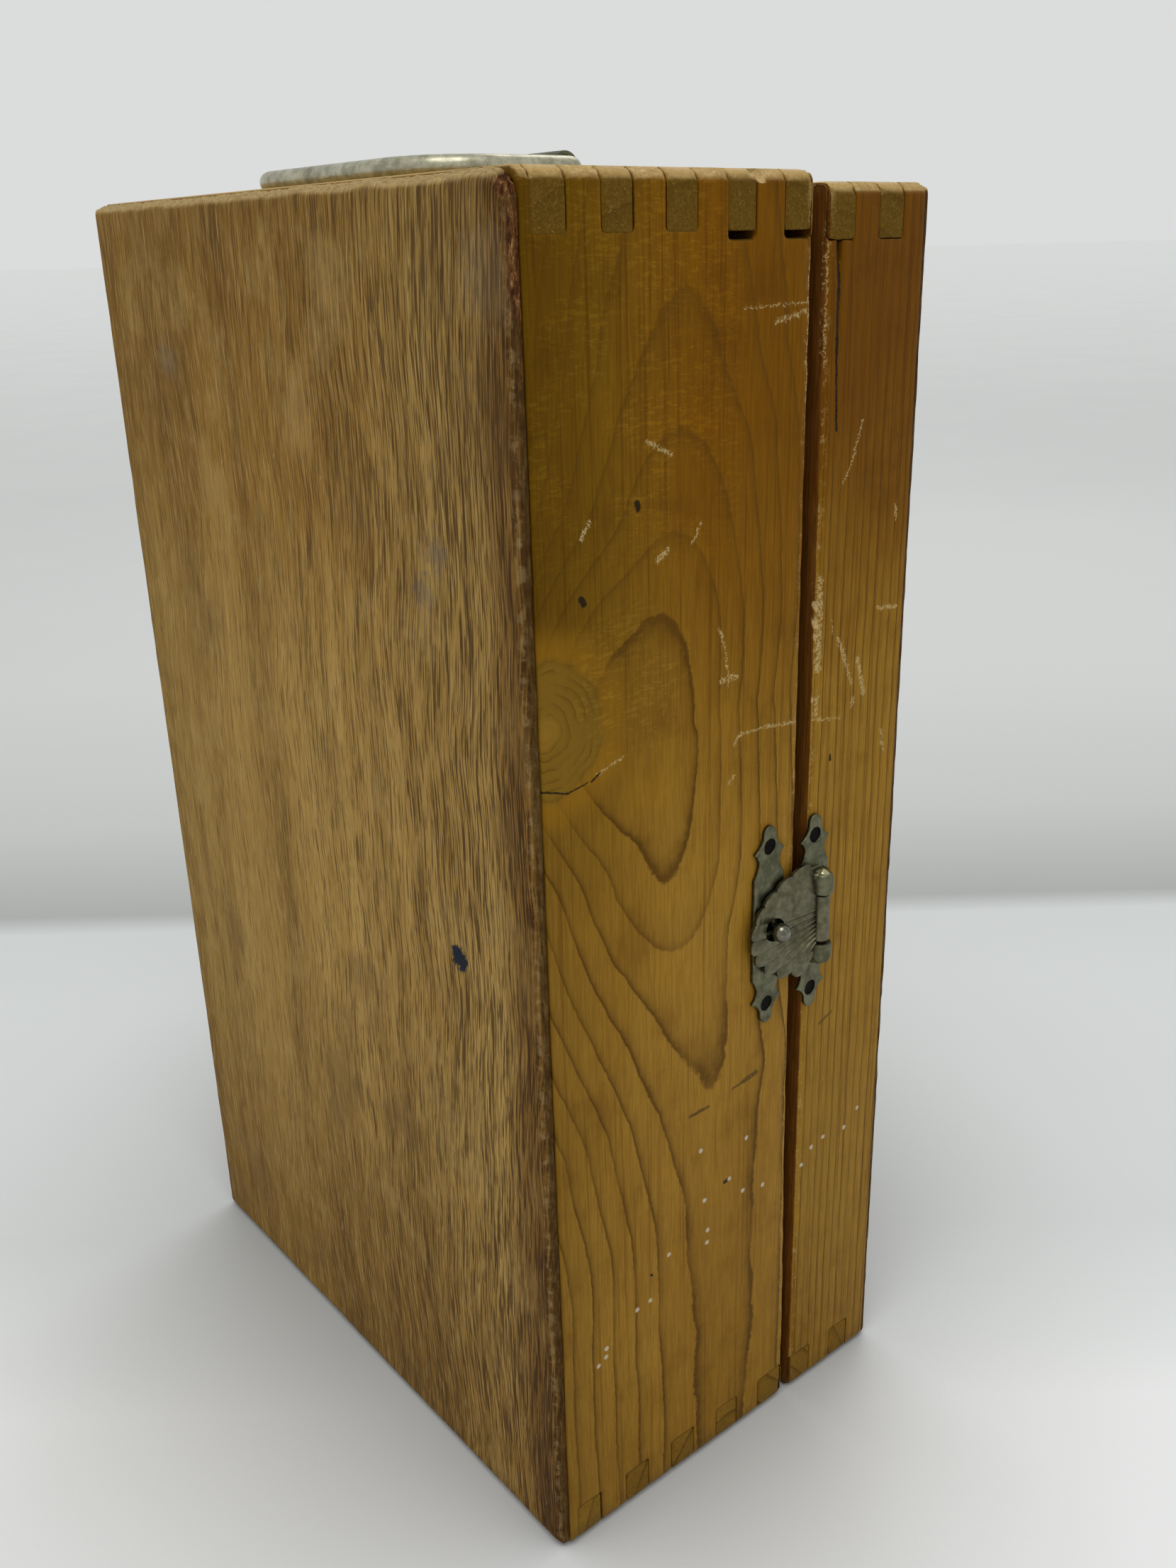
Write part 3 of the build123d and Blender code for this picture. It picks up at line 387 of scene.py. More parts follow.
def clasp_marks(g, colour, relief):
    # The knot: tight rings of its own, greyer than the board.
    flat = g.join(0.0, g.y, g.z)
    to_knot = g.vector("DISTANCE", flat, (0, 42.5, 170.4))
    wobble = g.sway(3.6, 0.16, 3, 0.5, 97)
    to_knot = g.add(to_knot, wobble)
    inside = g.span(to_knot, 13.2, 9.8)
    knot_share = g.math("FRACT", g.times(to_knot, 0.62))
    knot_lines = g.times(g.math("POWER", knot_share, 4.0), g.span(g.noise(0.2, 2, 0.5, 99), 0.35, 0.6))
    knot_colour = g.mix(g.times(knot_lines, 0.9), (0.195, 0.107, 0.01), (0.095, 0.048, 0.004))
    heart = g.span(to_knot, 4.0, 1.0)
    knot_colour = g.mix(g.times(heart, 0.6), knot_colour, (0.3, 0.16, 0.02))
    colour = g.mix(g.times(inside, 0.85), colour, knot_colour)
    halo = g.times(g.span(to_knot, 19, 13), g.span(to_knot, 10.5, 12.5))
    colour = g.mix(g.times(halo, 0.45), colour, (0.31, 0.145, 0.008))

    colour, relief = curl(g, colour, relief, g.times(g.span(g.z, 188, 206), g.span(g.y, -4, 6)))
    round_heart = g.span(g.vector("DISTANCE", flat, (0, 25, 176)), 17, 8)
    colour = g.tinted(g.times(round_heart, 0.35), colour, (0.68, 0.66, 0.5))
    colour, relief = curl(g, colour, relief, g.times(round_heart, 0.9))

    colour, fine = scratched(g, colour, 2.4, 107, [
        (-0.7, 160.2, -8.0, 160.4, 0.22), (-7.0, 160.2, -14.4, 159.4, 0.34),
        (0.1, 231.6, -15.3, 231.9, 0.16), (-7.0, 229.2, -14.0, 230.4, 0.42),
        (-14.9, 238.0, -15.1, 216.0, 0.32), (32.6, 161.2, 27.0, 163.0, 0.2),
        (4.6, 171.2, 1.0, 171.2, 0.62), (5.2, 180.4, 3.8, 177.0, 0.34),
        (18.9, 194.3, 16.8, 195.6, 0.62), (33.0, 202.4, 34.6, 199.8, 0.42),
        (11.4, 196.0, 9.4, 199.0, 0.3), (21.0, 213.0, 16.0, 210.5, 0.4),
        (2.6, 151.5, 1.2, 153.0, 0.3), (3.6, 176.5, 2.8, 170.0, 0.22),
        (-0.3, 160.6, 1.0, 158.8, 0.4),
    ])
    colour, relief = cracked(g, colour, relief, 0.93, 0.7, 109, [
        (43.9, 161.1, 38.6, 159.6, 0.19), (38.6, 159.6, 34.6, 160.4, 0.15),
        (33.8, 160.4, 32.0, 161.4, 0.2), (23.3, 203.9, 23.1, 203.0, 0.62),
        (35.0, 190.6, 34.5, 189.8, 0.62), (2.2, 66.7, 1.4, 66.7, 0.5),
        (22.0, 54.8, 21.8, 54.6, 0.32),
    ])
    dents = g.near_lines(g.roughened(0.9, 111), [
        (0.3, 87.5, -2.6, 88.0, 0.3), (-2.6, 88.0, -6.1, 88.5, 0.62), (11.7, 86.3, 6.9, 86.4, 0.42),
    ])
    colour = g.mix(g.times(dents, g.span(fine, 0.35, 0.55, 0.4, 0.85)), colour, (0.045, 0.032, 0.008))
    relief = g.add(relief, g.times(dents, -1.8))
    return specks(g, colour, [
        (8.8, 77.2), (-3.8, 74.3), (7.7, 65), (6.8, 57.4), (7, 54.5), (17.3, 57.1), (22.3, 48.8), (25.7, 48.5),
        (33.6, 43.8), (35.7, 40.8), (-8.8, 60.5), (0.9, 66.8), (33.8, 41.9), (-3.0, 62.0),
    ]), relief


def specks(g, colour, places):
    """Small flecks of white paint."""
    flat = g.roughened(0.7, 113)
    nearest = None
    for place in places:
        gap = g.vector("DISTANCE", flat, (0, *place))
        nearest = gap if nearest is None else g.math("MINIMUM", nearest, gap)
    return g.mix(g.times(g.span(nearest, 0.68, 0.3), 0.75), colour, (0.55, 0.5, 0.4))


def lid_marks(g, colour, relief):
    colour, _ = scratched(g, colour, 2.6, 115, [
        (-29.6, 211.5, -27.6, 205.5, 0.3), (-28.2, 206.5, -25.2, 201.2, 0.22),
        (-20.1, 184.5, -20.3, 168.0, 0.75), (-20.3, 162.8, -20.0, 159.4, 0.5),
        (-25.7, 172.8, -27.7, 168.4, 0.62), (-27.7, 168.4, -29.8, 163.6, 0.4),
        (-31.2, 168.0, -33.4, 160.8, 0.62), (-30.4, 160.4, -30.0, 159.0, 0.5),
        (-36.6, 176.8, -41.8, 176.2, 0.4), (-40.0, 196.0, -40.3, 192.8, 0.34),
        (-19.2, 244.0, -19.3, 222.0, 0.16), (-19.4, 158.6, -27.0, 157.4, 0.2),
        (-23.4, 177.0, -24.0, 174.0, 0.2), (-39.4, 152.0, -40.2, 147.5, 0.3),
    ])
    colour, relief = cracked(g, colour, relief, 0.95, 0.8, 117, [
        (-21.3, 242.5, -22.1, 234.5, 0.5), (-22.1, 234.5, -22.1, 223.2, 0.42),
        (-22.1, 223.2, -22.8, 210.5, 0.28), (-24.5, 150.4, -24.6, 149.6, 0.36),
    ])
    dent = g.near_lines(g.roughened(0.9, 119), [(-24.5, 92.3, -27.9, 93.6, 0.42)])
    colour = g.mix(g.times(dent, 0.6), colour, (0.05, 0.035, 0.01))
    return specks(g, colour, [
        (-23.5, 62.7), (-27.2, 63.6), (-33.9, 62.9), (-20.6, 59.6), (-38.0, 66.0)]), relief


def edge_ring(tilt, width, offset):
    """Straight grain with a slow drift, for the narrower boards that run upright."""
    def ring(g):
        across = g.add(g.y, offset, g.times(g.z, tilt))
        depth = g.add(g.times(g.x, 0.35), 40.0)
        return g.times(across, 1.25), depth, width
    return ring


def flat_ring(width, offset):
    """Grain that runs from side to side, for the end boards."""
    def ring(g):
        across = g.add(g.y, offset, g.times(g.x, 0.06))
        depth = g.add(g.times(g.z, 0.5), 22.0)
        return across, depth, width
    return ring


# ---- open-grained plywood
def lauan(name, facing):
    """Plywood with long open pores. facing is +1 for the back panel and -1 for the lid's."""
    g = Graph(name)
    wander = g.sway(11.0, 0.015, 2, 0.5, 19)
    lean = g.join(g.add(g.x, wander, g.times(g.z, 0.02)), 0.0, g.z)
    band = g.noise(0.05, 3, 0.5, 5 + facing, stretch=(1, 1, 0.08), place=lean)
    ribbon = g.noise(0.22, 4, 0.6, 8, stretch=(1, 1, 0.05), place=lean)
    tone = g.add(g.times(band, 0.55), g.times(ribbon, 0.45))
    ground = g.ramp(tone, [
        (0.34, (0.185, 0.098, 0.018)), (0.5, (0.3, 0.175, 0.042)), (0.66, (0.4, 0.25, 0.072))])
    middle = g.vector("DISTANCE", g.join(g.x, 0.0, g.times(g.z, 0.7)), (-18, 0, 100))
    from_middle = g.ramp(g.span(middle, 15, 108), [(0.0, (1.13, 1.13, 1.08)), (1.0, (0.74, 0.72, 0.58))])
    ground = g.mix(1.0, ground, from_middle, "MULTIPLY")
    foot = g.span(g.z, 90, 10)
    ground = g.tinted(g.times(foot, 0.9), ground, (0.85, 0.75, 0.6))
    top = g.times(g.span(g.z, 160, 212), g.span(g.x, -52, -15))
    ground = g.tinted(top, ground, (0.8, 0.69, 0.42))
    side_zone = g.span(g.add(g.x, g.times(wander, 0.5)), -58, -71)
    ground = g.tinted(g.times(side_zone, 0.65), ground, (0.6, 0.5, 0.36))
    fibre = g.noise(2.6, 4, 0.7, 13, stretch=(1, 1, 0.05), place=lean)
    ground = g.mix(g.span(fibre, 0.45, 0.68, 0, 0.5), ground, (0.46, 0.31, 0.11))
    # Open pores: short dark grooves, closer together towards the clasp side.
    pore_noise = g.noise(2.9, 1, 0.5, 23, stretch=(1, 1, 0.034), place=lean)
    pore_fine = g.noise(4.4, 1, 0.5, 29, stretch=(1, 1, 0.042), place=lean)
    crowd = g.noise(0.08, 3, 0.6, 37, stretch=(1, 1, 0.15), place=lean)
    crowded = g.span(g.x, 30, -60, 0.0, 0.085, smooth=False)
    bar = g.add(g.span(crowd, 0.35, 0.65, 0.655, 0.6, smooth=False), g.times(crowded, -1.0))
    pores = g.math("MULTIPLY", g.add(pore_noise, g.times(bar, -1.0)), 20.0, clamp=True)
    fine = g.math("MULTIPLY", g.add(pore_fine, g.times(bar, -1.0)), 18.0, clamp=True)
    pores = g.larger(pores, g.times(fine, 0.8))
    depth_of = g.span(g.x, 60, -60, 0.45, 0.9, smooth=False)
    colour = g.mix(g.times(pores, depth_of), ground, (0.06, 0.026, 0.006))
    # Painted highlight: the ridges between the pores are lightened, more towards the clasp side.
    ridge_highlight = g.times(g.span(pore_noise, 0.42, 0.3), g.span(g.x, 20, -50, 0.05, 0.25))
    colour = g.mix(ridge_highlight, colour, (0.5, 0.34, 0.13))
    # Rubbed pale patches, grey dirt and a few blue-black stains.
    rub = g.noise(0.045, 5, 0.62, 41)
    colour = g.mix(g.span(rub, 0.53, 0.72, 0, 0.35), colour, (0.42, 0.28, 0.1))
    colour = g.mix(g.span(rub, 0.47, 0.3, 0, 0.4), colour, (0.14, 0.075, 0.018))
    if facing > 0:
        flat = g.join(g.x, 0.0, g.z)
        jag = g.sway(5.0, 0.5, 4, 0.7, 47)
        spot = g.add(g.vector("DISTANCE", flat, (-49.4, 0, 123.5)), jag)
        colour = g.mix(g.span(spot, 2.9, 2.1), colour, (0.012, 0.016, 0.026))
        for place, size, amount in (((-50, 0, 196), 5, 0.4), ((-46, 0, 189), 4, 0.35), ((44, 0, 222), 6, 0.25)):
            smear = g.add(g.vector("DISTANCE", flat, place), g.times(jag, 2.4))
            colour = g.mix(g.times(g.span(smear, size, size * 0.3), amount), colour, (0.09, 0.09, 0.095))
        smear = g.add(g.vector("DISTANCE", flat, (-68, 0, 238)), g.times(jag, 3.0))
        colour = g.mix(g.times(g.span(smear, 10, 3), 0.12), colour, (0.44, 0.38, 0.27))
        # A few short pale scuffs.
        scuff = g.noise(0.5, 3, 0.7, 131, stretch=(1, 1, 0.22), twist=0.8)
        colour = g.mix(g.span(scuff, 0.69, 0.74, 0, 0.35), colour, (0.5, 0.4, 0.24))
    colour = g.tinted(g.times(side_zone, 0.7), colour, (0.55, 0.44, 0.28))
    # The panel's own edge shows its plies, rubbed grey.
    side_face = g.span(g.math("ABSOLUTE", g.split(g.normal)[1]), 0.86, 0.55)
    ply = g.noise(0.9, 4, 0.7, 59, stretch=(1, 2.2, 0.3))
    ply_colour = g.ramp(ply, [
        (0.4, (0.032, 0.012, 0.001)), (0.56, (0.066, 0.031, 0.003)), (0.72, (0.14, 0.095, 0.035))])
    colour = g.mix(g.times(side_face, 0.85), colour, ply_colour)
    up = g.span(g.split(g.normal)[2], 0.2, 0.6)
    colour = g.mix(g.times(up, g.span(ply, 0.35, 0.6, 0.5, 0.9)), colour, (0.44, 0.31, 0.13))
    wear = g.times(g.attribute("wear"), g.span(g.noise(0.5, 5, 0.7, 63), 0.46, 0.62))
    colour = g.mix(g.times(wear, g.span(side_face, 0, 1, 0.4, 0.1)), colour, (0.4, 0.28, 0.12))
    fresh = g.attribute("fresh")
    splinter = g.noise(1.6, 4, 0.75, 65, stretch=(1.0, 1, 0.3))
    torn_colour = g.ramp(splinter, [
        (0.42, (0.035, 0.01, 0.003)), (0.57, (0.14, 0.052, 0.012)), (0.7, (0.38, 0.24, 0.09))])
    colour = g.mix(fresh, colour, torn_colour)
    # Painted shade and dirt: the colour darkens in cracks and beside neighbouring parts.
    grime_and_shade = g.closed_in(0.9)
    colour = g.mix(g.times(grime_and_shade, 0.75), colour, (0.025, 0.012, 0.004))
    height = g.add(g.times(pores, -1.0), g.times(fibre, 0.45))
    normal = g.bump(height, 0.5, 0.24)
    normal = g.bump(g.noise(3.2, 4, 0.7, 71, stretch=(1, 1, 0.14)), 0.45, 0.14, normal)
    rough = g.span(rub, 0.3, 0.7, 0.66, 0.82, smooth=False)
    return g.finish(colour, rough, normal, specular=0.1)


# ---- metals and the rest
def worn_metal(name, bright, dull, dirt, rough_low, rough_high, scale=0.5, grain=None, metallic=1.0):
    """Old plated metal: mottled tone, dirt and painted shade in the corners, a painted highlight on polished
    knobs, and fine scratches.
    """
    g = Graph(name)
    mottle = g.noise(scale, 5, 0.62, 3)
    blot = g.noise(scale * 0.28, 4, 0.6, shift=9)
    colour = g.mix(g.span(mottle, 0.36, 0.64), dull, bright)
    colour = g.mix(g.span(blot, 0.52, 0.72, 0, 0.6), colour, dirt)
    stretch = grain or (1, 1, 1)
    scratch = g.noise(scale * 9, 2, 0.5, shift=15, stretch=stretch)
    colour = g.mix(g.span(scratch, 0.6, 0.72, 0, 0.35), colour, tuple(min(1.0, c * 1.7) for c in bright))
    # Painted shade and dirt: darker in corners and beside neighbouring parts.
    grime_and_shade = g.closed_in(0.8)
    colour = g.mix(g.times(grime_and_shade, 0.65), colour, tuple(c * 0.4 for c in dirt))
    # Painted highlight on the polished knob: its colour is lifted far above the bright tone, and its roughness
    # halved.
    polish_and_highlight = g.attribute("polish_and_highlight")
    colour = g.mix(g.times(polish_and_highlight, 0.75), colour, tuple(min(1.0, c * 3.4) for c in bright))
    normal = g.bump(mottle, 0.3, 0.1)
    normal = g.bump(scratch, 0.22, 0.04, normal)
    rough = g.span(g.add(g.times(blot, 0.6), g.times(scratch, 0.4)), 0.35, 0.65, rough_low, rough_high)
    rough = g.times(rough, g.span(polish_and_highlight, 0, 1, 1.0, 0.5))
    return g.finish(colour, rough, normal, metallic=metallic, specular=0.5 if metallic == 1.0 else 0.03)


def stained(name):
    g = Graph(name)
    band = g.noise(0.05, 4, 0.6, 3, stretch=(1, 1, 0.1), twist=0.7)
    fibre = g.noise(1.6, 4, 0.65, 7, stretch=(1, 1, 0.05))
    colour = g.ramp(band, [(0.35, (0.035, 0.014, 0.006)), (0.65, (0.11, 0.048, 0.018))])
    colour = g.mix(g.span(fibre, 0.45, 0.65, 0, 0.5), colour, (0.02, 0.009, 0.005))
    normal = g.bump(fibre, 0.35, 0.1)
    return g.finish(colour, g.span(fibre, 0.3, 0.7, 0.34, 0.5), normal)


def enamel(name):
    g = Graph(name)
    blot = g.noise(0.1, 5, 0.6, 3)
    speck = g.noise(1.8, 3, 0.7, 7)
    colour = g.ramp(blot, [(0.35, (0.70, 0.62, 0.42)), (0.65, (0.80, 0.75, 0.58))])
    colour = g.mix(g.span(speck, 0.68, 0.78, 0, 0.5), colour, (0.3, 0.2, 0.09))
    # Painted shade and dirt: darker in corners and beside neighbouring parts.
    grime_and_shade = g.closed_in(1.5)
    colour = g.mix(g.times(grime_and_shade, 0.5), colour, (0.2, 0.14, 0.06))
    return g.finish(colour, g.span(blot, 0.3, 0.7, 0.3, 0.45), g.bump(speck, 0.1, 0.05))


def paint(name, colour):
    g = Graph(name)
    wear = g.noise(2.0, 3, 0.6, 3)
    tone = g.mix(g.span(wear, 0.55, 0.75, 0, 0.5), colour, tuple(c * 3 + 0.02 for c in colour))
    return g.finish(tone, g.span(wear, 0.3, 0.7, 0.4, 0.6))


# Painted reflections in the nickel's tones: the plated parts and the shell leaf are darkened to stand in for
# the dark room they face, with some patina; the handle wire is lightened to stand in for the bright wall it
# catches at a grazing angle.
NICKEL_PAINTED_DARK = worn_metal("dull_nickel", (0.155, 0.15, 0.092), (0.085, 0.085, 0.05), (0.04, 0.036, 0.02), 0.34, 0.5)
SHELL_PAINTED_DARK = worn_metal(
    "shell_nickel_painted_dark_reflection", (0.15, 0.139, 0.086), (0.095, 0.088, 0.052), (0.05, 0.045, 0.027), 0.28, 0.42, 0.7)
STUD = worn_metal(
    "stud_nickel", (0.24, 0.235, 0.19), (0.13, 0.125, 0.095), (0.06, 0.055, 0.04), 0.12, 0.22, 0.9)
WIRE_PAINTED_BRIGHT = worn_metal(
    "handle_wire_painted_bright_reflection", (0.5, 0.475, 0.35), (0.3, 0.285, 0.2), (0.13, 0.12, 0.08), 0.26, 0.45, 0.35, (0.08, 1, 1))
NAIL = worn_metal("nail_steel", (0.006, 0.005, 0.004), (0.003, 0.0026, 0.002), (0.002, 0.001, 0.001), 0.34, 0.5,
                  1.2, metallic=0.0)
STEEL = worn_metal("steel", (0.44, 0.43, 0.41), (0.35, 0.34, 0.33), (0.22, 0.2, 0.18), 0.2, 0.34, 0.3)
BRASS = worn_metal("brass", (0.68, 0.46, 0.17), (0.6, 0.39, 0.135), (0.42, 0.26, 0.09), 0.2, 0.32, 0.2)
WEIGHT = worn_metal("bob_brass", (0.62, 0.42, 0.16), (0.54, 0.35, 0.12), (0.36, 0.22, 0.08), 0.24, 0.36, 0.12)

CLASP_PINE = pine("clasp_side_pine", "z", clasp_ring, clasp_zone, clasp_marks, rim=BODY_RIM)
LID_PINE = pine("lid_clasp_side_pine", "z", edge_ring(0.01, 2.6, 60.0), lid_zone, lid_marks, rim=LID_RIM)
HINGE_PINE = pine("hinge_side_pine", "z", edge_ring(-0.03, 4.6, -8.0), plain_zone, rim=BODY_RIM)
LID_HINGE_PINE = pine("lid_hinge_side_pine", "z", edge_ring(0.02, 3.4, 30.0), plain_zone, rim=LID_RIM)
END_PINE = pine("end_board_pine", "x", flat_ring(3.6, 5.0), plain_zone, rim=BODY_RIM)
LID_END_PINE = pine("lid_end_board_pine", "x", flat_ring(3.1, 12.0), plain_zone, rim=LID_RIM)
RAW_PINE = pine("batten_pine", "z", edge_ring(0.0, 3.0, 20.0), None, None, 0.7)
BACK_PLY = lauan("back_plywood", 1)
LID_PLY = lauan("lid_plywood", -1)
BOARD = stained("movement_board_stain")
SCALE = enamel("scale_enamel")
INK = paint("scale_ink", (0.02, 0.018, 0.015))


def dress(target, material):
    target.data.materials.clear()
    target.data.materials.append(material)


def placed(name, data):
    """A new object in the scene."""
    made = bpy.data.objects.new(name, data)
    bpy.context.scene.collection.objects.link(made)
    return made


def sealed(made, name):
    """The mesh that a bmesh makes."""
    mesh = bpy.data.meshes.new(name)
    made.to_mesh(mesh)
    made.free()
    return mesh


# ---- mesh helpers
MOST_TRIANGLES = 190000


def lattice(points, size, seed):
    """Smooth noise from -1 to 1 at each point. size is a cell's width in mm."""
    scaled = points / size + seed * 17.31
    cell = np.floor(scaled).astype(np.int64)
    part = scaled - cell
    part = part * part * (3 - 2 * part)
    total = np.zeros(len(points))
    for corner in range(8):
        step = np.array([corner & 1, corner >> 1 & 1, corner >> 2 & 1])
        key = cell + step
        mixed = key[:, 0] * 73856093 ^ key[:, 1] * 19349663 ^ key[:, 2] * 83492791 ^ seed * 2654435761
        mixed = (mixed ^ mixed >> 13) * 1274126177 & 0x7FFFFFFF
        value = (mixed % 10007) / 5003.5 - 1
        weight = np.prod(np.where(step == 1, part, 1 - part), axis=1)
        total += weight * value
    return total


def patches(points, size, seed):
    return 0.5 + 0.5 * lattice(points, size, seed)


def triples(items, name):
    flat = np.empty(len(items) * 3, np.float32)
    items.foreach_get(name, flat)
    return flat.reshape(-1, 3).astype(float)


def corners(mesh):
    return triples(mesh.vertices, "co") / MM


def place_corners(mesh, points):
    mesh.vertices.foreach_set("co", (points * MM).astype(np.float32).ravel())
    mesh.update()


def normals(mesh):
    return triples(mesh.vertex_normals, "vector")


def smoothstep(value, low, high):
    share = np.clip((value - low) / (high - low), 0, 1)
    return share * share * (3 - 2 * share)


def evaluated(piece):
    """The piece's mesh with its modifiers applied."""
    graph = bpy.context.evaluated_depsgraph_get()
    mesh = bpy.data.meshes.new_from_object(piece.evaluated_get(graph))
    piece.modifiers.clear()
    piece.data = mesh
    return mesh


def lightened(piece):
    """Take the piece down to the most triangles that one piece may have: flat parts give theirs up first."""
    triangles = 2 * len(piece.data.polygons)
    if triangles > MOST_TRIANGLES:
        thin = piece.modifiers.new("thin", "DECIMATE")
        thin.ratio = MOST_TRIANGLES / triangles
        evaluated(piece)
    smooth_faces(piece.data)


def keep_values(mesh, name, values):
    layer = mesh.attributes.new(name, "FLOAT", "POINT")
    layer.data.foreach_set("value", values.astype(np.float32))


def new_piece(name, mesh, body, replaced, material):
    piece = placed(name, mesh)
    dress(piece, material)
    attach(piece, body)
    if replaced:
        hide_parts(*replaced)


def swapped(piece, name, body, node, material):
    """Put the piece's mesh, under a new name, in the place of a CAD node."""
    bpy.context.scene.collection.objects.unlink(piece)
    new_piece(name, piece.data, body, [node], material)


def remeshed(node, voxel):
    """A fine, even copy of a CAD node, with its crisp edges very slightly rounded."""
    piece = placed("worn_" + node, nodes[node].data.copy())
    refine = piece.modifiers.new("refine", "REMESH")
    refine.mode = "VOXEL"
    refine.voxel_size = voxel * MM
    evaluated(piece)
    return piece


def smooth_faces(mesh):
    mesh.polygons.foreach_set("use_smooth", np.ones(len(mesh.polygons), bool))


def edge_nearness(points, low, high):
    """How far each point on a box's surface is from the box's nearest edge, and from its surface."""
    gaps = np.sort(np.abs(np.concatenate([points - low, high - points], axis=1)), axis=1)
    return gaps[:, 1], gaps[:, 0]


def bite(points, centre, radius, seed, ragged):
    """Push points out of a sphere whose middle lies in the air, which leaves a chip."""
    away = points - np.array(centre, float)
    gap = np.linalg.norm(away, axis=1)
    reach = radius * (1 + ragged * lattice(points, 0.9, seed))
    inside = gap < reach
    moved = points.copy()
    moved[inside] += away[inside] / gap[inside, None] * (reach - gap)[inside, None]
    return moved, inside


# ---- worn boards and panels
BODY_BOX = ((CLASP_FACE, BODY_RIM, 0.0), (HINGE_FACE, BACK_FACE, BODY_TOP))
LID_BOX = ((CLASP_FACE, FRONT_FACE, 0.0), (HINGE_FACE, LID_RIM, LID_TOP))
DEEPEST_WEAR = 0.22  # about how far the edges are rubbed down, in mm
NARROWER = 1.1  # how much the opening narrows at the foot, in mm


def worn_copy(node, voxel, spread):
    """A remeshed copy of a node, with its points, the case's box there, and how worn each point is."""
    piece = remeshed(node, voxel)
    points = corners(piece.data)
    low, high = (np.array(end) for end in (LID_BOX if node.startswith("lid") else BODY_BOX))
    edge, depth = edge_nearness(points, low, high)
    return piece, points, low, high, smoothstep(edge, spread, 0.5) * smoothstep(depth, 1.2, 0.3)


def put_back(piece, points, wear, fresh, name, node, material):
    place_corners(piece.data, points)
    keep_values(piece.data, "wear", wear)
    keep_values(piece.data, "fresh", fresh)
    lightened(piece)
    swapped(piece, name, "lid" if node.startswith("lid") else "case", node, material)


def worn_board(node, material, voxel, chips=()):
    """A board with rounded, dented edges and chips. Each chip is a sphere's centre, radius and raggedness."""
    piece, points, _, _, wear = worn_copy(node, voxel, 2.2)
    rub = patches(points, 3.1, 3)
    fine = patches(points, 1.1, 5)
    amount = wear * DEEPEST_WEAR * (0.25 + rub * 0.9 + fine * 0.45) + 0.012 * (1 + lattice(points, 6.0, 9))
    points = points - normals(piece.data) * amount[:, None]
    fresh = np.zeros(len(points))
    for number, (centre, radius, ragged) in enumerate(chips):
        points, cut = bite(points, centre, radius, 30 + number, ragged)
        fresh[cut] = 1.0
    if node.startswith("body"):
        # The boards have moved a little: the opening narrows towards the foot.
        points[:, 1] -= NARROWER * smoothstep(points[:, 2], 85, 15) * smoothstep(points[:, 1], -6.0, -15.0)
    put_back(piece, points, wear, fresh, f"worn_{node}_board", node, material)


def worn_panel(node, material, broken):
    """A plywood panel whose rim is splintered along the grain. One has a broken corner."""
    piece, points, low, high, wear = worn_copy(node, 0.6, 2.6)
    splinter = patches(points * (1.0, 1.0, 0.3), 0.9, 21)
    broad = patches(points, 7.0, 23)
    amount = wear * (0.08 + 0.45 * splinter * broad + 0.15 * broad)
    top = smoothstep(points[:, 2], high[2] - 1.2, high[2] - 0.2)
    comb = patches(points * (1.0, 0.6, 0.05), 0.8, 27)
    points = points - normals(piece.data) * amount[:, None]
    points[:, 2] -= top * (0.15 + 0.6 * comb * broad)
    fresh = np.zeros(len(points))
    if broken:
        # The corner above the clasp side is broken, and its plies are frayed for a way down.
        near = smoothstep(points[:, 0], low[0] + 5.5, low[0] + 0.8)
        torn = near * smoothstep(points[:, 2], high[2] - 6.0, high[2] - 1.0)
        shred = patches(points * (1.0, 1.6, 0.4), 0.8, 33)
        points[:, 2] -= torn * (0.3 + 1.5 * shred)
        points[:, 0] += torn * 0.8 * shred
        points[:, 1] -= torn * 0.5 * np.abs(lattice(points, 1.1, 35))
        strip = smoothstep(points[:, 0], low[0] + 2.2, low[0] + 0.5)
        ragged = patches(points * (1.0, 1.0, 0.12), 1.2, 39)
        points[:, 0] += strip * 0.3 * ragged
        down = smoothstep(points[:, 2] + 14 * lattice(points * (1, 1, 0.2), 2.0, 37), 205, 236)
        fresh = np.maximum(smoothstep(torn, 0.3, 0.7), strip * down * smoothstep(ragged, 0.25, 0.6))
    put_back(piece, points, wear, fresh, f"worn_{node}_sheet", node, material)


top_chips = [
    ((-73.2, -2.6, 252.9), 2.5, 0.35),
    ((-72.6, -6.2, 253.1), 2.1, 0.3),
    ((-73.4, 31.0, 252.9), 1.1, 0.3),
    ((-73.2, -13.4, 253.1), 1.3, 0.3),
]
side_chips = [
    ((-73.5, -2.6, 252.9), 2.6, 0.35),
    ((-73.2, -6.2, 253.0), 2.0, 0.3),
    ((-74.2, 31.4, 252.4), 1.3, 0.3),
    ((-73.7, -15.9, 230.0), 1.2, 0.35),
    ((-73.7, -15.9, 226.5), 1.15, 0.35),
    ((-73.7, -16.0, 223.0), 1.1, 0.35),
]
lid_chips = [((-73.9, -18.3, height), radius, 0.35) for height, radius in
             ((183.0, 1.5), (180.4, 1.75), (177.6, 1.7), (174.6, 1.85), (171.6, 1.8), (168.8, 1.5),
              (162.4, 1.45), (160.2, 1.5), (243.0, 1.3), (236.0, 1.2))]
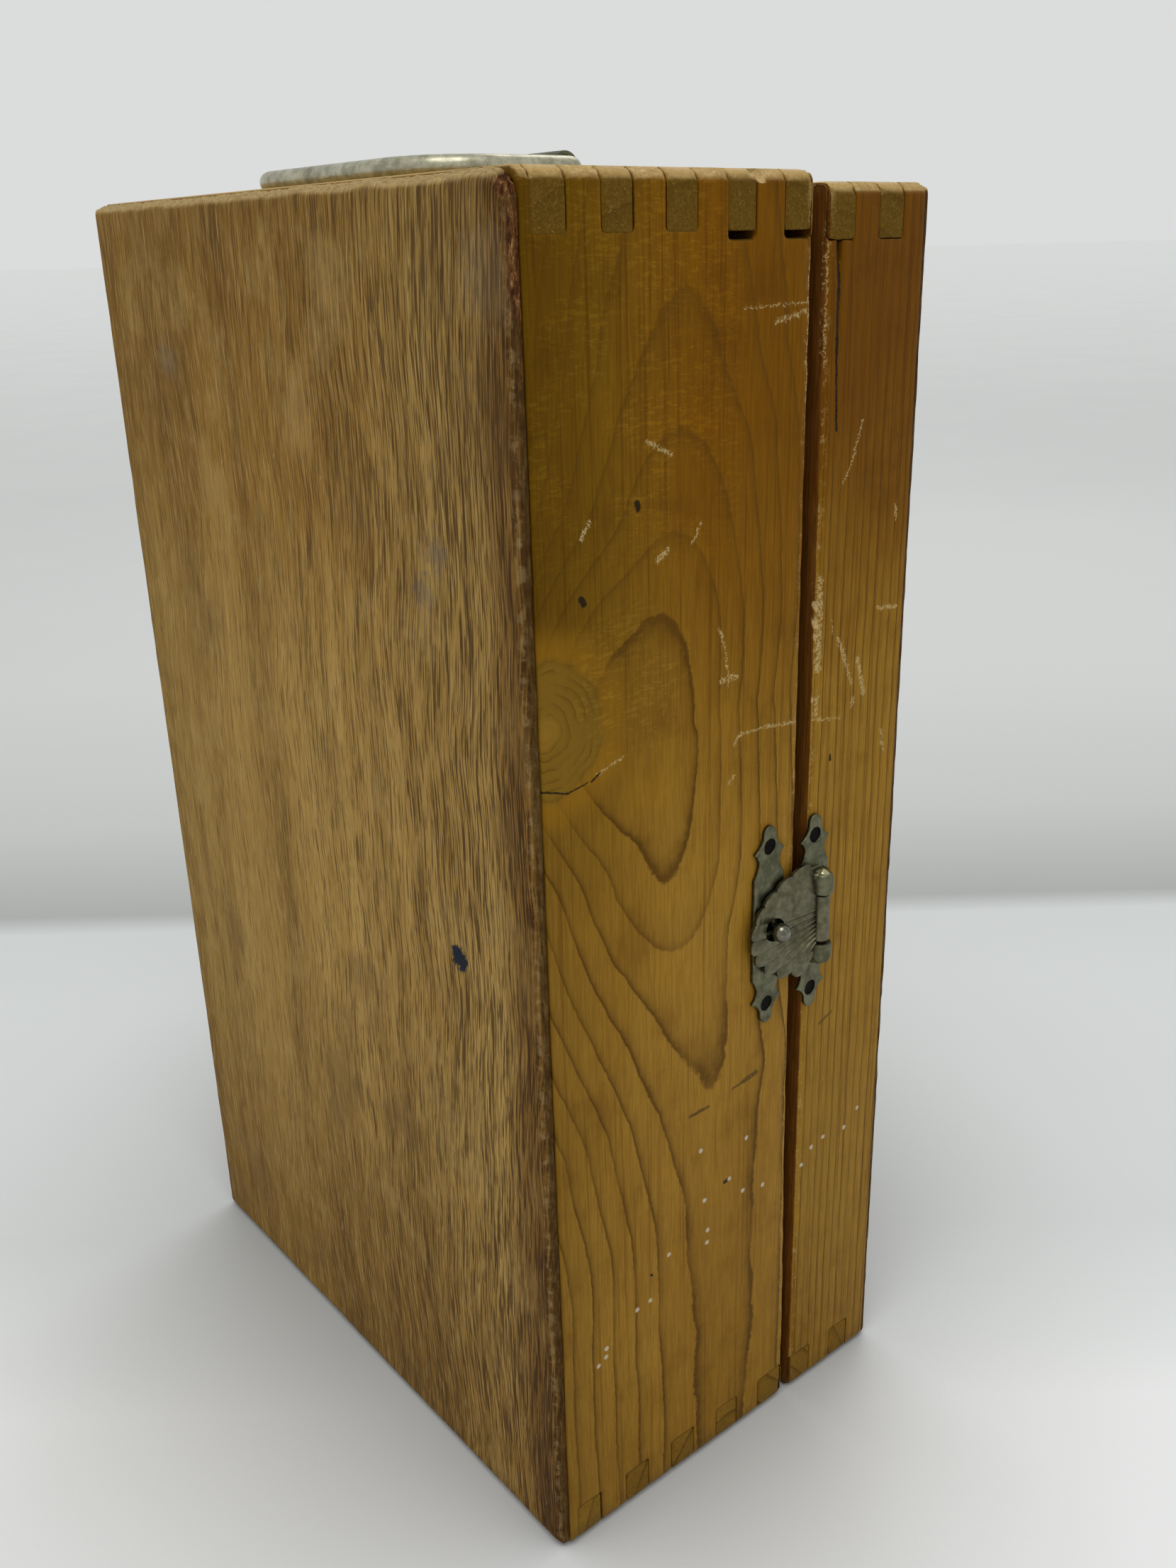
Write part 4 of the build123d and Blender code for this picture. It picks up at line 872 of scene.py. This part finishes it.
for name, material, voxel, chips in (
        ("body_top_board", END_PINE, 0.5, top_chips), ("body_bottom_board", END_PINE, 0.7, ()),
        ("body_clasp_side", CLASP_PINE, 0.5, side_chips), ("body_hinge_side", HINGE_PINE, 0.8, ()),
        ("lid_top_board", LID_END_PINE, 0.5, ()), ("lid_bottom_board", LID_END_PINE, 0.7, ()),
        ("lid_clasp_side", LID_PINE, 0.45, lid_chips), ("lid_hinge_side", LID_HINGE_PINE, 0.8, ())):
    worn_board(name, material, voxel, chips)
worn_panel("back_panel", BACK_PLY, True)
worn_panel("lid_panel", LID_PLY, False)


# ---- stamped clasp plates
def stamped(node, body):
    """A soft-edged copy of a sheet-metal node, as a press leaves it."""
    piece = remeshed(node, 0.22)
    soften = piece.modifiers.new("soften", "SMOOTH")
    soften.iterations = 4
    mesh = evaluated(piece)
    points = corners(mesh)
    points = points - normals(mesh) * (0.03 * (1 + lattice(points, 1.4, 51)))[:, None]
    if node == "hasp_hinge_plate":
        # The end knuckles are pressed to round knobs.
        pin_low, pin_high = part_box("hasp_pin")
        axis = np.array([(pin_low.x + pin_high.x) / 2, (pin_low.y + pin_high.y) / 2]) / MM
        middle = (pin_low.z + pin_high.z) / 2 / MM
        out = points[:, :2] - axis
        reach = np.linalg.norm(out, axis=1)
        rise = np.abs(points[:, 2] - middle)
        low, high = rise[(reach < 1.8) & (points[:, 0] < axis[0])].min(), rise[reach < 1.8].max()
        share = np.clip((rise - (low + high) / 2) / ((high - low) / 2 + 0.12), -1, 1)
        ball = (1 - np.abs(share) ** 2.4) ** 0.5
        hold = smoothstep(reach, 1.85, 1.7) * smoothstep(points[:, 0], axis[0] + 0.9, axis[0] - 0.2)
        points[:, :2] = axis + out * (1 + (ball - 1) * hold)[:, None]
        # The upper knob is marked for a painted highlight and a smoother finish in its material.
        keep_values(mesh, "polish_and_highlight", hold * (points[:, 2] > middle))
    place_corners(mesh, points)
    smooth_faces(mesh)
    swapped(piece, "stamped_" + node, body, node, NICKEL_PAINTED_DARK)


stamped("catch_plate", "case")
stamped("hasp_hinge_plate", "lid")


def shell_leaf():
    """The scallop leaf: a domed fan with ribs, a beaded rim, a knuckle and a hole for the stud."""
    plate_low, plate_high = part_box("hasp_leaf")
    stud_low, stud_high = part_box("catch_stud")
    knuckle_radius = 1.7
    axis_y = plate_low.y / MM + knuckle_radius
    middle_z = (plate_low.z + plate_high.z) / 2 / MM
    reach = (plate_high.y - plate_low.y) / MM - knuckle_radius
    half = (plate_high.z - plate_low.z) / 2 / MM
    hole = Vector((0, (stud_low.y + stud_high.y) / 2 / MM, (stud_low.z + stud_high.z) / 2 / MM))
    rows, columns = 48, 264
    lobes = 10
    made = bmesh.new()
    sheets = []
    for side in (0, 1):
        grid = []
        inner_y = 1.2
        for row in range(rows + 1):
            share = row / rows
            line = []
            for column in range(columns + 1):
                turn = -82 + 164 * column / columns
                angle = math.radians(turn)
                wave = abs(math.sin(math.pi * lobes * column / columns))
                deep = 0.06 + 0.05 * smoothstep(-turn, 5, 50)
                grow = 1 - deep * (1 - wave ** 0.7)
                outer_y = reach * grow * math.cos(angle)
                outer_z = half * grow * math.sin(angle)
                inner_z = 4.9 * max(-1.0, min(1.0, turn / 62))
                y = inner_y + (outer_y - inner_y) * share
                z = inner_z + (outer_z - inner_z) * share
                dome = 1.0 - (share * 1.02) ** 2.2
                rib_fade = smoothstep(share, -0.05, 0.06) * smoothstep(share, 0.85, 0.4)
                rib_fade *= smoothstep(turn, 38, -8)
                rib = 0.3 * math.cos(math.radians(turn + 16 * share) * 30) * rib_fade
                petal = 0.26 * wave * smoothstep(share, 0.55, 0.95)
                bead = 0.12 * math.exp(-((share - 0.965) / 0.02) ** 2)
                height = 1.85 + 1.15 * dome + rib + petal + bead - side * 0.62
                line.append(made.verts.new((CLASP_FACE - height, axis_y + y, middle_z + z)))
            grid.append(line)
        sheets.append(grid)
    for side, grid in enumerate(sheets):
        for near, far in zip(grid, grid[1:]):
            for column in range(columns):
                face = [near[column], far[column], far[column + 1], near[column + 1]]
                made.faces.new(face if side == 0 else face[::-1])
    rim, low_rim = (
        [row[0] for row in grid[:-1]] + grid[-1][:-1] + [row[-1] for row in grid[:0:-1]] + grid[0][:0:-1]
        for grid in sheets)
    for number in range(len(rim)):
        following = (number + 1) % len(rim)
        made.faces.new([rim[number], low_rim[number], low_rim[following], rim[following]])
    bmesh.ops.scale(made, vec=(MM, MM, MM), verts=made.verts)
    bmesh.ops.recalc_face_normals(made, faces=made.faces)
    leaf = placed("shell_leaf_raw", sealed(made, "shell_leaf"))
    drill = round_bar((CLASP_FACE - 1.0, hole.y, hole.z), (CLASP_FACE - 6.0, hole.y, hole.z), [2.35, 2.35], 72)
    drill_object = placed("shell_drill", drill)
    cut = leaf.modifiers.new("cut", "BOOLEAN")
    cut.object = drill_object
    mesh = evaluated(leaf)
    bpy.data.objects.remove(drill_object)
    bpy.data.objects.remove(leaf)
    smooth_faces(mesh)
    mesh.set_sharp_from_angle(angle=math.radians(48))
    knuckle = round_bar(
        (CLASP_FACE - 2.8, axis_y, middle_z - 4.95), (CLASP_FACE - 2.8, axis_y, middle_z + 4.95),
        [1.45, 1.68, 1.7, 1.7, 1.7, 1.68, 1.45], 48, [0, 0.02, 0.05, 0.5, 0.95, 0.98, 1])
    smooth_faces(knuckle)
    joined = bmesh.new()
    joined.from_mesh(mesh)
    joined.from_mesh(knuckle)
    new_piece("shell_leaf", sealed(joined, "shell_leaf_mesh"), "hasp", ["hasp_leaf"], SHELL_PAINTED_DARK)


def round_bar(start, end, radii, sides, shares=None):
    """A closed turned bar between two points in mm, with a radius at each share of its length."""
    start, end = Vector(start), Vector(end)
    shares = shares or [number / (len(radii) - 1) for number in range(len(radii))]
    turn = (end - start).normalized().to_track_quat("Z", "Y").to_matrix()
    made = bmesh.new()
    angles = [2 * math.pi * number / sides for number in range(sides)]
    rings = []
    for share, radius in zip(shares, radii):
        offsets = [turn @ Vector((math.cos(angle) * radius, math.sin(angle) * radius, 0)) for angle in angles]
        rings.append([made.verts.new((start.lerp(end, share) + offset) * MM) for offset in offsets])
    for first, second in zip(rings, rings[1:]):
        for number in range(sides):
            following = (number + 1) % sides
            made.faces.new([first[number], first[following], second[following], second[number]])
    made.faces.new(rings[0][::-1])
    made.faces.new(rings[-1])
    bmesh.ops.recalc_face_normals(made, faces=made.faces)
    return sealed(made, "bar")


shell_leaf()


# ---- CAD nodes that stay
def softened(node, width, material):
    """A CAD node that stays as it is, with a fine bevel on its sharp edges."""
    piece = nodes[node]
    dress(piece, material)
    weld = piece.modifiers.new("weld", "WELD")
    weld.merge_threshold = 0.002 * MM
    if width:
        soft = piece.modifiers.new("soft", "BEVEL")
        soft.width = width * MM
        soft.segments = 2
        soft.limit_method = "ANGLE"
        soft.angle_limit = math.radians(40)


for width, material, names in (
        (0, STUD, "catch_stud"), (0, WEIGHT, "pendulum_bob"), (0, WIRE_PAINTED_BRIGHT, "handle_bail"),
        (0.12, NAIL, "catch_nails hasp_plate_nails"),
        (0.05, STEEL, "hasp_pin hinge_pin_lower hinge_pin_upper mainspring click_spring weight_spring"),
        (0.08, STEEL, "winding_arbor ratchet_wheel click click_screw second_arbor escape_arbor"),
        (0.08, STEEL, "pendulum_arbor pallet_anchor pendulum_rod board_screws back_plate_screws"),
        (0.1, BRASS, "movement_front_plate movement_back_plate plate_pillars movement_screws great_wheel"),
        (0.1, BRASS, "second_wheel escape_wheel winding_key sliding_weight rod_clip clip_post scale_pins"),
        (0.15, NICKEL_PAINTED_DARK, "handle_saddle_left handle_saddle_right handle_saddle_screws"),
        (0.12, NICKEL_PAINTED_DARK, "hinge_body_leaf_lower hinge_body_leaf_upper hinge_body_screws"),
        (0.12, NICKEL_PAINTED_DARK, "hinge_lid_leaf_lower hinge_lid_leaf_upper hinge_lid_screws"),
        (0.2, BOARD, "movement_board"), (0.3, RAW_PINE, "board_batten_left board_batten_right"),
        (0.1, SCALE, "tempo_scale")):
    for name in names.split():
        softened(name, width, material)


# ---- tempo numbers
def scale_marks():
    """A line and a number for each usual tempo, left and right of the rod in turn."""
    low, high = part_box("tempo_scale")
    face_y = low.y - 0.03 * MM
    tempos = list(range(40, 60, 2)) + list(range(60, 72, 3)) + list(range(72, 120, 4))
    tempos += list(range(120, 144, 6)) + list(range(144, 209, 8))
    top = high.z - 9 * MM
    step = (high.z - low.z - 18 * MM) / (len(tempos) - 1)
    made = bmesh.new()
    for number, tempo in enumerate(tempos):
        side = -1 if number % 2 == 0 else 1
        z = top - number * step
        line = [(side * 2.8, 0.16), (side * 5.6, 0.16), (side * 5.6, -0.16), (side * 2.8, -0.16)]
        made.faces.new([made.verts.new((x * MM, face_y, z + dz * MM)) for x, dz in line])
        curve = bpy.data.curves.new("tempo", "FONT")
        curve.body = str(tempo)
        curve.size = 4.1 * MM
        curve.align_x = "CENTER"
        curve.align_y = "CENTER"
        curve.extrude = 0.02 * MM
        text = placed("tempo", curve)
        mesh = bpy.data.meshes.new_from_object(text.evaluated_get(bpy.context.evaluated_depsgraph_get()))
        upright = Matrix.Rotation(math.radians(90), 4, "X")
        mesh.transform(Matrix.Translation((side * 9.3 * MM, face_y, z)) @ upright)
        made.from_mesh(mesh)
        bpy.data.objects.remove(text)
    new_piece("tempo_marks", sealed(made, "tempo_marks"), "case", [], INK)


scale_marks()


# ---- stage, light and camera
CAMERA = Vector((-0.2368, 0.1676, 0.2411))
FORWARD = Vector((0.72478, -0.58860, -0.35810))
RIGHT = Vector((-0.63749, -0.77007, -0.02452))
UP = Vector((0.26133, -0.24605, 0.93336))
LENS = 32.09
# Painted light and shade on the floor, by slope from the camera's place: far off it stands in for a wall that
# darkens towards its foot, then it steps up to the table's tone, which brightens towards the camera.
FLOOR_PAINTED_LIGHT_TONES = [
    (0.0, (0.975, 0.98, 0.975)), (0.04, (0.93, 0.935, 0.93)), (0.16, (0.715, 0.725, 0.715)),
    (0.3, (0.68, 0.69, 0.68)), (0.41, (0.585, 0.595, 0.585)), (0.485, (0.43, 0.44, 0.43)),
    (0.5, (0.66, 0.68, 0.68)), (0.56, (0.695, 0.715, 0.715)), (0.8, (0.7, 0.72, 0.72)),
    (0.93, (0.815, 0.83, 0.835)), (1.0, (0.9, 0.91, 0.915)),
]


def stage_floor():
    """A pale table with a soft step in tone where the wall behind it begins, painted as light and shade, with a
    painted contact shadow round the case.
    """
    made = bmesh.new()
    reach = 60.0  # metres
    made.faces.new([made.verts.new((x * reach, y * reach, 0)) for x, y in ((-1, -1), (1, -1), (1, 1), (-1, 1))])
    floor = placed("floor", sealed(made, "floor"))
    g = Graph("floor_white")
    ahead = Vector((FORWARD.x, FORWARD.y, 0)).normalized()
    away = g.vector("DOT_PRODUCT", g.place, tuple(ahead))
    away = g.add(away, -ahead.dot(Vector((CAMERA.x, CAMERA.y, 0))) / MM)
    # The slope of the line from the camera's height down to the floor: 0 far away, 1 near by.
    slope = g.math("DIVIDE", CAMERA.z / MM, g.larger(away, 180.0))
    tone = g.ramp(slope, FLOOR_PAINTED_LIGHT_TONES)
    cloud = g.noise(0.006, 3, 0.5, 3)
    tone = g.mix(g.span(cloud, 0.4, 0.65, 0, 0.05), tone, (0.6, 0.62, 0.62))
    # Painted contact shadow: the floor darkens round the case.
    shade = g.span(g.openness(110, 8), 0.5, 1.0, 0.6, 0.0, smooth=False)
    tone = g.mix(shade, tone, (0.3, 0.3, 0.29))
    dress(floor, g.finish(tone, g.span(cloud, 0.3, 0.7, 0.6, 0.75), None, specular=0.1))


def area_light(name, place, target, size, power):
    data = bpy.data.lights.new(name, "AREA")
    data.shape = "DISK"
    data.size = size
    data.energy = power
    light = placed(name, data)
    light.location = place
    light.rotation_mode = "QUATERNION"
    light.rotation_quaternion = (Vector(target) - Vector(place)).to_track_quat("-Z", "Y")
    light.visible_camera = False


stage_floor()
world = bpy.data.worlds.new("room")
bpy.context.scene.world = world
world.use_nodes = True
background = world.node_tree.nodes["Background"]
background.inputs["Color"].default_value = (0.985, 1.0, 0.99, 1.0)
background.inputs["Strength"].default_value = 0.72
area_light("overhead", (-0.35, 0.3, 1.25), (-0.05, 0.05, 0.1), 0.8, 4.2)
area_light("far_side", (0.5, -0.9, 1.1), (0, 0, 0.12), 0.7, 2.0)

camera_data = bpy.data.cameras.new("camera")
camera_data.sensor_width = 36.0
camera_data.lens = LENS
camera_data.clip_start = 0.01
camera_data.clip_end = 50
camera = placed("camera", camera_data)
camera.matrix_world = Matrix.Translation(CAMERA) @ Matrix((RIGHT, UP, -FORWARD)).transposed().to_4x4()
bpy.context.scene.camera = camera
bpy.context.scene.view_settings.view_transform = "Standard"
